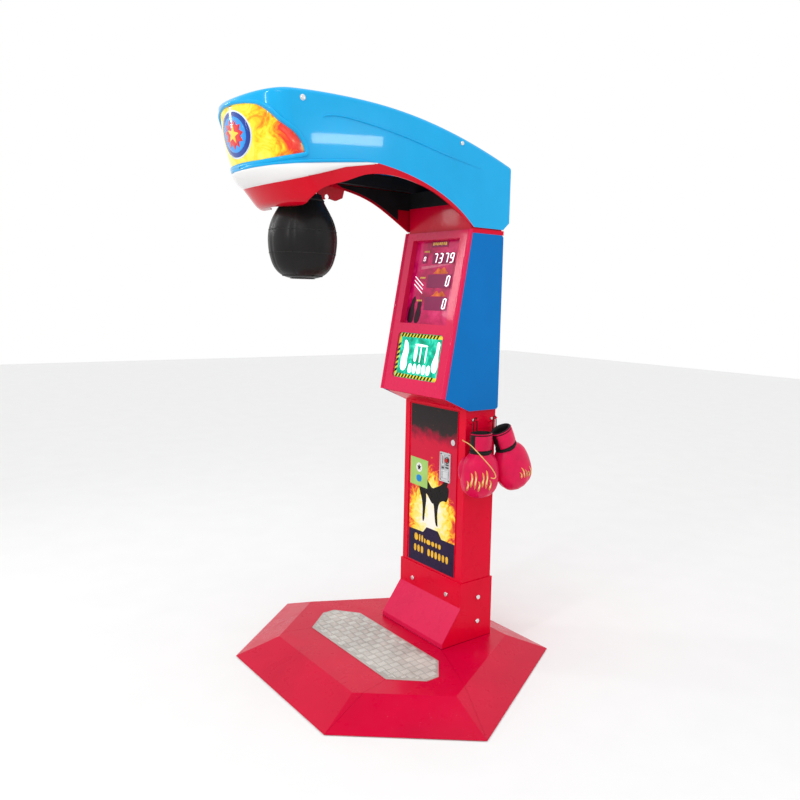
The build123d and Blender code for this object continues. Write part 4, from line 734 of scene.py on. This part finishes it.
def white_lip():
    """The lip swells out of the hood between the blue shell and the red jaw."""
    white = bpy.data.materials["white_lip_gloss"]
    top = [(-700, 1845), (-620, 1848), (-514, 1856), (-384, 1875), (-250, 1893), (-177, 1898)]
    low = [(-700, 1799), (-520, 1803), (-427, 1829), (-365, 1849), (-304, 1870), (-177, 1896)]

    def plan(turn, back, z):
        """Place and outward direction at a height: turned round the nose, or at back on a side."""
        if back is not None:
            side = 1 if turn == 0 else -1
            return Vector((side * HOOD_HALF, back, 0)), Vector((side, 0, 0))
        cos, sin = math.cos(math.radians(turn)), math.sin(math.radians(turn))
        place = Vector((HOOD_HALF * cos, nose_tip(z) + NOSE_DEPTH - NOSE_DEPTH * sin, 0))
        return place, Vector((cos / HOOD_HALF, -sin / NOSE_DEPTH, 0)).normalized()

    stations = [(0, -190 - 14 * i) for i in range(19)]
    stations += [(4 + 4 * i, None) for i in range(44)]
    stations += [(180, -442 + 14 * i) for i in range(19)]
    rings = []
    rows = 12
    for turn, back in stations:
        outer, inner = [], []
        for k in range(rows + 1):
            t = k / rows
            z = 1850.0
            for _ in range(3):
                y = plan(turn, back, z)[0].y
                z = between(low, y) + t * (between(top, y) - between(low, y))
            place, out = plan(turn, back, z)
            room = min(1.0, (between(top, y) - between(low, y)) / 34)
            swell = 8.5 * room * math.sin(math.pi * t) ** 0.6
            outer.append(Vector((place.x, place.y, z)) + out * (swell + 0.3))
            inner.append(Vector((place.x, place.y, z)) - out * 1.0)
        rings.append([p / 1000 for p in outer + inner[::-1]])
    lofted("white_lip_roll", rings, "machine", white, "white_moulding")


def tube(name, points, radius, body, material, slot, taper=None, closed=False):
    """A round bead along a smooth curve; radii and points in millimetres."""
    data = bpy.data.curves.new(name, "CURVE")
    data.dimensions = "3D"
    data.resolution_u = 8
    data.bevel_depth = radius / 1000
    data.bevel_resolution = 4
    data.use_fill_caps = True
    spline = data.splines.new("NURBS")
    spline.points.add(len(points) - 1)
    for i, point in enumerate(points):
        spline.points[i].co = (*mm(*point), 1)
        if taper is not None and i in (0, len(points) - 1):
            spline.points[i].radius = taper
    spline.order_u = 3
    spline.use_endpoint_u = not closed
    spline.use_cyclic_u = closed
    curve = bpy.data.objects.new(name + "_curve", data)
    bpy.context.scene.collection.objects.link(curve)
    mesh = bpy.data.meshes.new_from_object(curve.evaluated_get(bpy.context.evaluated_depsgraph_get()))
    bpy.data.objects.remove(curve)
    mesh.name = name
    mesh.materials.clear()
    return dress(bpy.data.objects.new(name, mesh), body, material, slot)


def badge():
    """A round badge wrapped onto the middle of the marquee: rings, a burst and a plain star."""
    panel = tree_of(NODES["marquee_panel"])
    centre_z = 1.958

    def wrapped(name, outline, lift, material):
        flat = [Vector((u, v, 0)) for u, v in outline]
        mesh = bmesh.new()
        corners = [mesh.verts.new(p) for p in flat]
        for a, b, c in tessellate_polygon([flat]):
            mesh.faces.new((corners[a], corners[b], corners[c]))
        for _ in range(3):
            long_edges = [e for e in mesh.edges if e.calc_length() > 14]
            if long_edges:
                bmesh.ops.subdivide_edges(mesh, edges=long_edges, cuts=1)
                bmesh.ops.triangulate(mesh, faces=mesh.faces[:])
        for vert in mesh.verts:
            start = Vector((vert.co.x / 1000, -0.9, centre_z + vert.co.y / 1000))
            place = panel.ray_cast(start, Vector((0, 1, 0)))[0]
            vert.co = place - Vector((0, lift / 1000, 0)) if place is not None else start
        data = bpy.data.meshes.new(name)
        mesh.to_mesh(data)
        mesh.free()
        obj = dress(bpy.data.objects.new(name, data), "machine", material, "marquee_print")
        thicken(obj, 0.0003)

    def burst(half_x, half_z, spikes, depth):
        return [(half_x * r * math.cos(math.pi * i / spikes), half_z * r * math.sin(math.pi * i / spikes))
                for i, r in [(i, 1.0 if i % 2 == 0 else depth) for i in range(2 * spikes)]]

    def gloss(tag, color, vary):
        return surface("badge_" + tag, color, 0.2, vary=vary, coat=0.6)

    wrapped("badge_rim", oval(0, 0, 104, 74, 48), 0.5, gloss("pale", (0.72, 0.80, 0.86), 0.05))
    wrapped("badge_ring", oval(0, 0, 98, 69, 48), 0.9, gloss("navy", (0.012, 0.05, 0.32), 0.1))
    wrapped("badge_field", oval(0, 0, 78, 55, 48), 1.3, gloss("blue", (0.03, 0.30, 0.80), 0.2))
    wrapped("badge_burst", burst(66, 46, 11, 0.72), 1.7, gloss("red", (0.72, 0.02, 0.03), 0.1))
    wrapped("badge_star", burst(40, 30, 5, 0.42), 2.1, gloss("gold", (0.95, 0.66, 0.05), 0.1))


# ---- tread
def tread_bars():
    """Short raised bars on the tread plate, in groups that alternate in direction."""
    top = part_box("tread_plate")[1][2] * 1000
    corners = [(-270, -145), (270, -145), (370, -35), (370, 20), (275, 95), (-275, 95), (-370, 20),
               (-370, -35)]

    def inside(u, v):
        for i, (ax, ay) in enumerate(corners):
            bx, by = corners[(i + 1) % len(corners)]
            if (bx - ax) * (v - ay) - (by - ay) * (u - ax) < 5 * math.hypot(bx - ax, by - ay):
                return False
        return True

    outlines = []
    cell, reach, half_width, pitch = 34.0, 15, 2.1, 6.4
    for i in range(-11, 12):
        for j in range(-5, 5):
            u, v = i * cell, -25 + j * cell
            for k in range(5):
                shift = (k - 2) * pitch
                if (i + j) % 2:
                    box = (u - reach, u + reach, v + shift - half_width, v + shift + half_width)
                else:
                    box = (u + shift - half_width, u + shift + half_width, v - reach, v + reach)
                u0, u1, v0, v1 = box
                halves = [(u0, (u0 + u1) / 2, v0, v1), ((u0 + u1) / 2, u1, v0, v1),
                          (u0, u1, v0, (v0 + v1) / 2), (u0, u1, (v0 + v1) / 2, v1)]
                for part in [box] + halves[2 * ((i + j + 1) % 2):][:2]:
                    if all(inside(a, b) for a, b in rectangle(*part)):
                        outlines.append(rounded(rectangle(*part), 1))
                        break

    def place(u, v, n):
        return Vector(mm(u, v, top + n))

    # The bars are a much lighter grey than the plate: partly worn metal, partly a painted highlight on their
    # tops.
    bar_wear_and_highlight = surface("tread_bar_wear_and_highlight", (0.68, 0.66, 0.62), 0.34, metal=0.25, vary=0.12, scale=9, peel=0.05)
    bars = plates("tread_bars", outlines, place, 1.8, "machine", bar_wear_and_highlight, "tread_sheet")
    bevel = bars.modifiers.new("soft", "BEVEL")
    bevel.width = 0.0007
    bevel.segments = 1


# ---- ball
def punch_ball():
    """Eight leather gores with stitched seams, a tied neck and a patch underneath."""
    ball_y = -346
    black = leather("ball_black_leather", (0.009, 0.008, 0.008), 0.36, 380, 0.25, coat=0.08)
    outline = [(0, 1503), (40, 1505), (66, 1512), (88, 1528), (104, 1553), (115, 1590), (119.5, 1632),
               (117, 1668), (108, 1702), (94, 1731), (79, 1757), (68, 1778), (62.5, 1795)]
    gores, per = 8, 12
    rings = []
    for n, (radius, z) in enumerate(smoothed(outline, 5)):
        ring = []
        for i in range(gores * per):
            angle = 2 * math.pi * i / (gores * per)
            seam = abs(((i % per) / per) - 0.5) * 2
            crease = 1 - 0.020 * max(0.0, seam - 0.82) / 0.18
            fold = 1 + 0.020 * math.sin(angle * 7 + 1.3) * max(0.0, (z - 1730) / 65)
            dent = 1 - 0.012 * math.exp(-((z - 1690) / 30) ** 2) * max(0.0, math.cos(angle - 2.6)) ** 4
            r = max(radius * crease * fold * dent, 0.4)
            ring.append(mm(r * math.cos(angle), ball_y + r * math.sin(angle), z))
        rings.append(ring)
    ball = lofted("punch_ball", rings, "ball_arm", black, "ball_leather")
    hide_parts("ball")

    thread = surface("seam_thread", (0.03, 0.03, 0.03), 0.7, vary=0.3, scale=200)
    seams = [("ball_base_seam", 1513, 70, 16, 1.6), ("ball_seam_upper", 1668, 118.0, 24, 1.3),
             ("ball_seam_lower", 1590, 116.2, 24, 1.3), ("ball_neck_tie", 1774, 71.5, 24, 3.2)]
    for name, z, radius, count, thick in seams:
        ring = [(x, y, z) for x, y in circle(0, ball_y, radius, count)]
        closed = name != "ball_base_seam"
        tube(name, ring if closed else ring + ring[:1], thick, "ball_arm", thread, "ball_leather",
             closed=closed)
    grey = surface("ball_base_patch", (0.07, 0.07, 0.075), 0.5, vary=0.2, scale=60)
    plates("ball_patch", [circle(0, ball_y, 44, 32)], lambda u, v, n: Vector(mm(u, v, 1504.2 - n)), 1.0,
           "ball_arm", grey, "ball_leather")


def smoothed(points, cuts):
    """Points on a Catmull-Rom curve through the given ones."""
    out = []
    for i in range(len(points) - 1):
        before = points[max(i - 1, 0)]
        a, b = points[i], points[i + 1]
        after = points[min(i + 2, len(points) - 1)]
        for k in range(cuts):
            t = k / cuts
            out.append(tuple(0.5 * (2 * q + (r - p) * t + (2 * p - 5 * q + 4 * r - s) * t ** 2
                                    + (3 * q - p - 3 * r + s) * t ** 3) for p, q, r,
                                    s in zip(before, a, b, after)))
    out.append(tuple(points[-1]))
    return out


# ---- gloves
def glove(tag, body, cuff, tilt, grow):
    """A stuffed boxing glove hanging fist down: padded body with thumb, black cuff and red strap."""
    lean = math.radians(tilt)
    down = Vector((0, math.sin(lean), -math.cos(lean)))
    back = Vector((0, math.cos(lean), math.sin(lean)))
    out = Vector((1, 0, 0))
    centre = Vector(mm(268, *cuff))

    def at(d, u, v):
        """d down the glove, u along back, v along +X, all in millimetres."""
        return centre + (down * (d * grow) + back * u + out * v) / 1000

    red = leather("glove_red_" + tag, (0.66, 0.003, 0.068), 0.34, 700, 0.18, coat=0.1)
    black = leather("cuff_black_" + tag, (0.012, 0.012, 0.012), 0.55, 500, 0.3)

    # fist: distance from the cuff's top with the half sizes along back and out
    sections = [(72, 42, 33), (82, 49, 37), (96, 64, 46), (114, 75, 53), (138, 81, 58), (165, 83, 61),
                (194, 81.5, 61.5), (218, 74, 56), (236, 60, 47), (248, 42, 33), (255, 22, 17)]
    rings = []
    for d, half_u, half_v in smoothed(sections, 3):
        ring = []
        for i in range(48):
            angle = 2 * math.pi * i / 48
            u, v = math.cos(angle), math.sin(angle)
            knuckle = 1 + 0.025 * math.sin(angle * 9) * max(0.0, min(1.0, (d - 150) / 60))
            palm = 1 - 0.10 * max(0.0, v) ** 2
            pucker = 1 + 0.03 * math.sin(angle * 13) * max(0.0, (104 - d) / 30)
            ring.append(at(d, u * half_u * knuckle * pucker, v * half_v * knuckle * palm * pucker))
        rings.append(ring)
    fist = lofted("glove_body_" + tag, rings, body, red, "glove_leather")
    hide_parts("glove_" + tag)

    # thumb: a shorter lobe lying along the front edge
    thumb = [(96, 6, 8), (108, 17, 16), (130, 22, 20), (155, 23, 21), (178, 20, 19), (194, 12, 12),
             (201, 4, 4)]
    rings = []
    for d, half_u, half_v in smoothed(thumb, 3):
        bend = -48 - 10 * math.sin((d - 96) / 105 * math.pi)
        rings.append([at(d, *p) for p in oval(bend, -30, half_u, half_v, 24)])
    lofted("glove_thumb_" + tag, rings, body, red, "glove_leather")

    # cuff: an open black tube with a lining, and a red strap round it
    def strap(name, d0, d1, half_u, half_v, thick, first, last):
        """A strap over part of the cuff, between two angles."""
        rings = []
        for k in range(37):
            angle = math.radians(first + (last - first) * k / 36)
            end = min(1.0, 6 * min(k, 36 - k) / 36)
            ring = []
            for d, lift in ((d0, 0), (d0 + 3, 1.8 * end), ((d0 + d1) / 2, 2.6 * end), (d1 - 3, 1.8 * end),
                            (d1, 0), (d1, -thick), (d0, -thick)):
                ring.append(at(d, (half_u + lift) * math.cos(angle), (half_v + lift) * math.sin(angle)))
            rings.append(ring)
        lofted(name, rings, body, red, "glove_leather")

    def band(name, d0, d1, half_u, half_v, thick, bulge):
        """An open black tube round the cuff, with walls of one thickness that swell a little outwards."""
        count, steps = 48, 6
        profile = [(d0 + (d1 - d0) * k / steps,
                    bulge * math.sin(math.pi * k / steps)) for k in range(steps + 1)]
        rings = [[at(d, *p) for p in oval(0, 0, half_u + swell, half_v + swell, count)] for d,
                 swell in profile]
        rings += [[at(d, *p) for p in oval(0, 0, half_u - thick, half_v - thick, count)]
                  for d, swell in reversed(profile)]
        verts, faces = loft(rings, closed_ends=False)
        last = (len(rings) - 1) * count
        for j in range(count):
            k = (j + 1) % count
            faces.append((last + j, last + k, k, j))
        oriented(piece(name, verts, faces, body, black, "glove_leather"))

    band("cuff_" + tag, 0, 84, 43.5, 35.5, 6.5, 1.0)
    strap("cuff_strap_" + tag, 10, 66, 45.6, 37.6, 1.4, -80, 158)
    strap("cuff_strap_edge_" + tag, 2, 6.5, 44.6, 36.6, 0.8, -80, 200)
    band("cuff_piping_" + tag, 70, 79, 47.0, 37.8, 3.0, 1.2)
    return at


def flames(tag, body, at, out, places):
    """Small painted flames on the fist, cast onto it from the side that out points to."""
    skin = tree_of(bpy.data.objects["glove_body_" + tag])
    out = Vector(out).normalized()
    across = Vector((-out.y, out.x, 0))
    lick = [(-5, 0), (-7, 0.2), (-6, 0.4), (-1, 0.6), (-3, 0.8), (-6, 1.0), (2, 0.85), (5, 0.6), (2, 0.4),
            (1, 0.15)]

    def on_skin(d, u, lift):
        origin = at(d, 0, 0) + across * (u / 1000) + out * 0.2
        place = skin.ray_cast(origin, -out)[0]
        return (place if place is not None else at(d, 0, 0)) + out * (lift / 1000)

    for lift, scale, name in ((0.7, 1.0, "flames_"), (1.2, 0.5, "flame_cores_")):
        color = (0.90, 0.36, 0.10) if scale == 1.0 else (0.92, 0.72, 0.30)
        ink = surface(name + "ink_" + tag, color, 0.35, vary=0.3, scale=60)
        verts, faces = [], []
        for d, u, long in places:
            fine = rounded([(a * scale, (b - 0.45) * scale + 0.45) for a, b in lick], 1)
            start = len(verts)
            verts += [on_skin(d - b * long, u + a, lift) for a, b in fine]
            verts.append(on_skin(d - 0.45 * long, u, lift))
            for i in range(len(fine)):
                faces.append((start + i, start + (i + 1) % len(fine), start + len(fine)))
        thicken(piece(name + tag, verts, faces, body, ink, "glove_leather"), 0.0004)


def gloves():
    """Both gloves with their flames, the hanger straps over the pegs and the gold wire."""
    black = surface("hanger_black", (0.012, 0.012, 0.012), 0.6, vary=0.3, scale=80, peel=0.3)
    front_flames = [(220 - 8 * (i * 5 % 3), -46 + 14.5 * i, 46 + 16 * (i * 7 % 3)) for i in range(7)]
    rear_flames = [(208, -14 + 16 * i, 30 + 10 * (i * 5 % 3)) for i in range(5)]
    pairs = [("front", "glove_a", (283, 938), 0.0, 1.0, (0.77, -0.64, 0), front_flames),
             ("rear", "glove_b", (384, 944), 25.0, 1.06, (1, 0, 0), rear_flames)]
    for tag, body, cuff, tilt, grow, out, places in pairs:
        at = glove(tag, body, cuff, tilt, grow)
        flames(tag, body, at, out, places)
        y, low = cuff[0], cuff[1] - 16
        loop = [(-9, low), (-9, 972), (-6, 988), (0, 991), (6, 988), (9, 972), (9, low)]
        tube("hanger_" + tag, [(232.5, y + dy, z) for dy, z in loop], 2.2, body, black, "glove_leather")
    gold = surface("gold_wire", (0.80, 0.52, 0.16), 0.3, metal=0.3, vary=0.1, scale=60)
    wire = [(206, 244, 903), (232, 214, 910), (300, 196, 908), (320, 208, 888), (336, 238, 852),
            (345, 268, 819), (346, 290, 792), (344, 298, 775), (338, 290, 768), (335, 280, 774)]
    tube("glove_wire", wire, 1.9, "glove_a", gold, "bright_steel")


# ---- small details
def details():
    """White washers under the hood's side screws, and the coin plate's trim."""
    white = surface("white_caps", (0.80, 0.80, 0.78), 0.4, vary=0.1, scale=60)
    for side, tag in ((1, "right"), (-1, "left")):
        plates("screw_washer_" + tag, [circle(-464, 2063, 9.5, 28)],
               lambda u, v, n, s=side: Vector(mm(s * (HOOD_HALF + n), u, v)), 1.2, "machine", white,
               "white_moulding")
    coin_plate_trim()


def coin_plate_trim():
    """Raised rim, slot surround, button collar, cup lip, labels and four screws on the coin plate."""
    steel = bpy.data.materials["polished_steel"]
    dark = bpy.data.materials["black_plastic"]
    plate_face = 255.6

    def raised(name, shapes, height, material, slot="bright_steel"):
        plates(name, shapes, lambda u, v, n: Vector(mm(u, plate_face - n, v)), height, "front_door",
               material, slot)

    left, right, low, high = 52, 120, 709, 831
    rim = [rectangle(left + 1, right - 1, high - 4, high - 1),
           rectangle(left + 1, right - 1, low + 1, low + 4), rectangle(left + 1, left + 4, low + 4, high - 4),
           rectangle(right - 4, right - 1, low + 4, high - 4)]
    raised("coin_rim", rim, 1.6, steel)
    slot = [rectangle(66, 71, 778, 822), rectangle(77, 82, 778, 822), rectangle(71, 77, 817, 822),
            rectangle(71, 77, 778, 783)]
    raised("coin_slot_surround", slot, 2.4, steel)
    inner, outer = circle(98, 800, 10.5, 20), circle(98, 800, 13.5, 20)
    collar = [[inner[i], outer[i], outer[(i + 1) % 20], inner[(i + 1) % 20]] for i in range(20)]
    raised("button_collar", collar, 1.8, dark, "black_plastic")
    cup = [rectangle(64, 108, 753.5, 758), rectangle(64, 67.5, 722, 753.5),
           rectangle(104.5, 108, 722, 753.5), rectangle(64, 108, 716, 722)]
    raised("cup_surround", cup, 2.0, steel)
    labels = [rectangle(64, 80, 763, 771), rectangle(88, 110, 766, 773), rectangle(88, 110, 778, 784)]
    raised("plate_labels", [rounded(label) for label in labels], 0.3, dark, "black_plastic")
    screws = [circle(u, v, 2.4, 12) for u in (left + 8, right - 8) for v in (low + 8, high - 8)]
    raised("coin_plate_screws", screws, 1.1, dark)


set_camera()
set_light()
dress_cad()
set_floor()
displays()
bezel_edges()
door_art()
hood_beads()
white_lip()
badge()
tread_bars()
punch_ball()
gloves()
details()
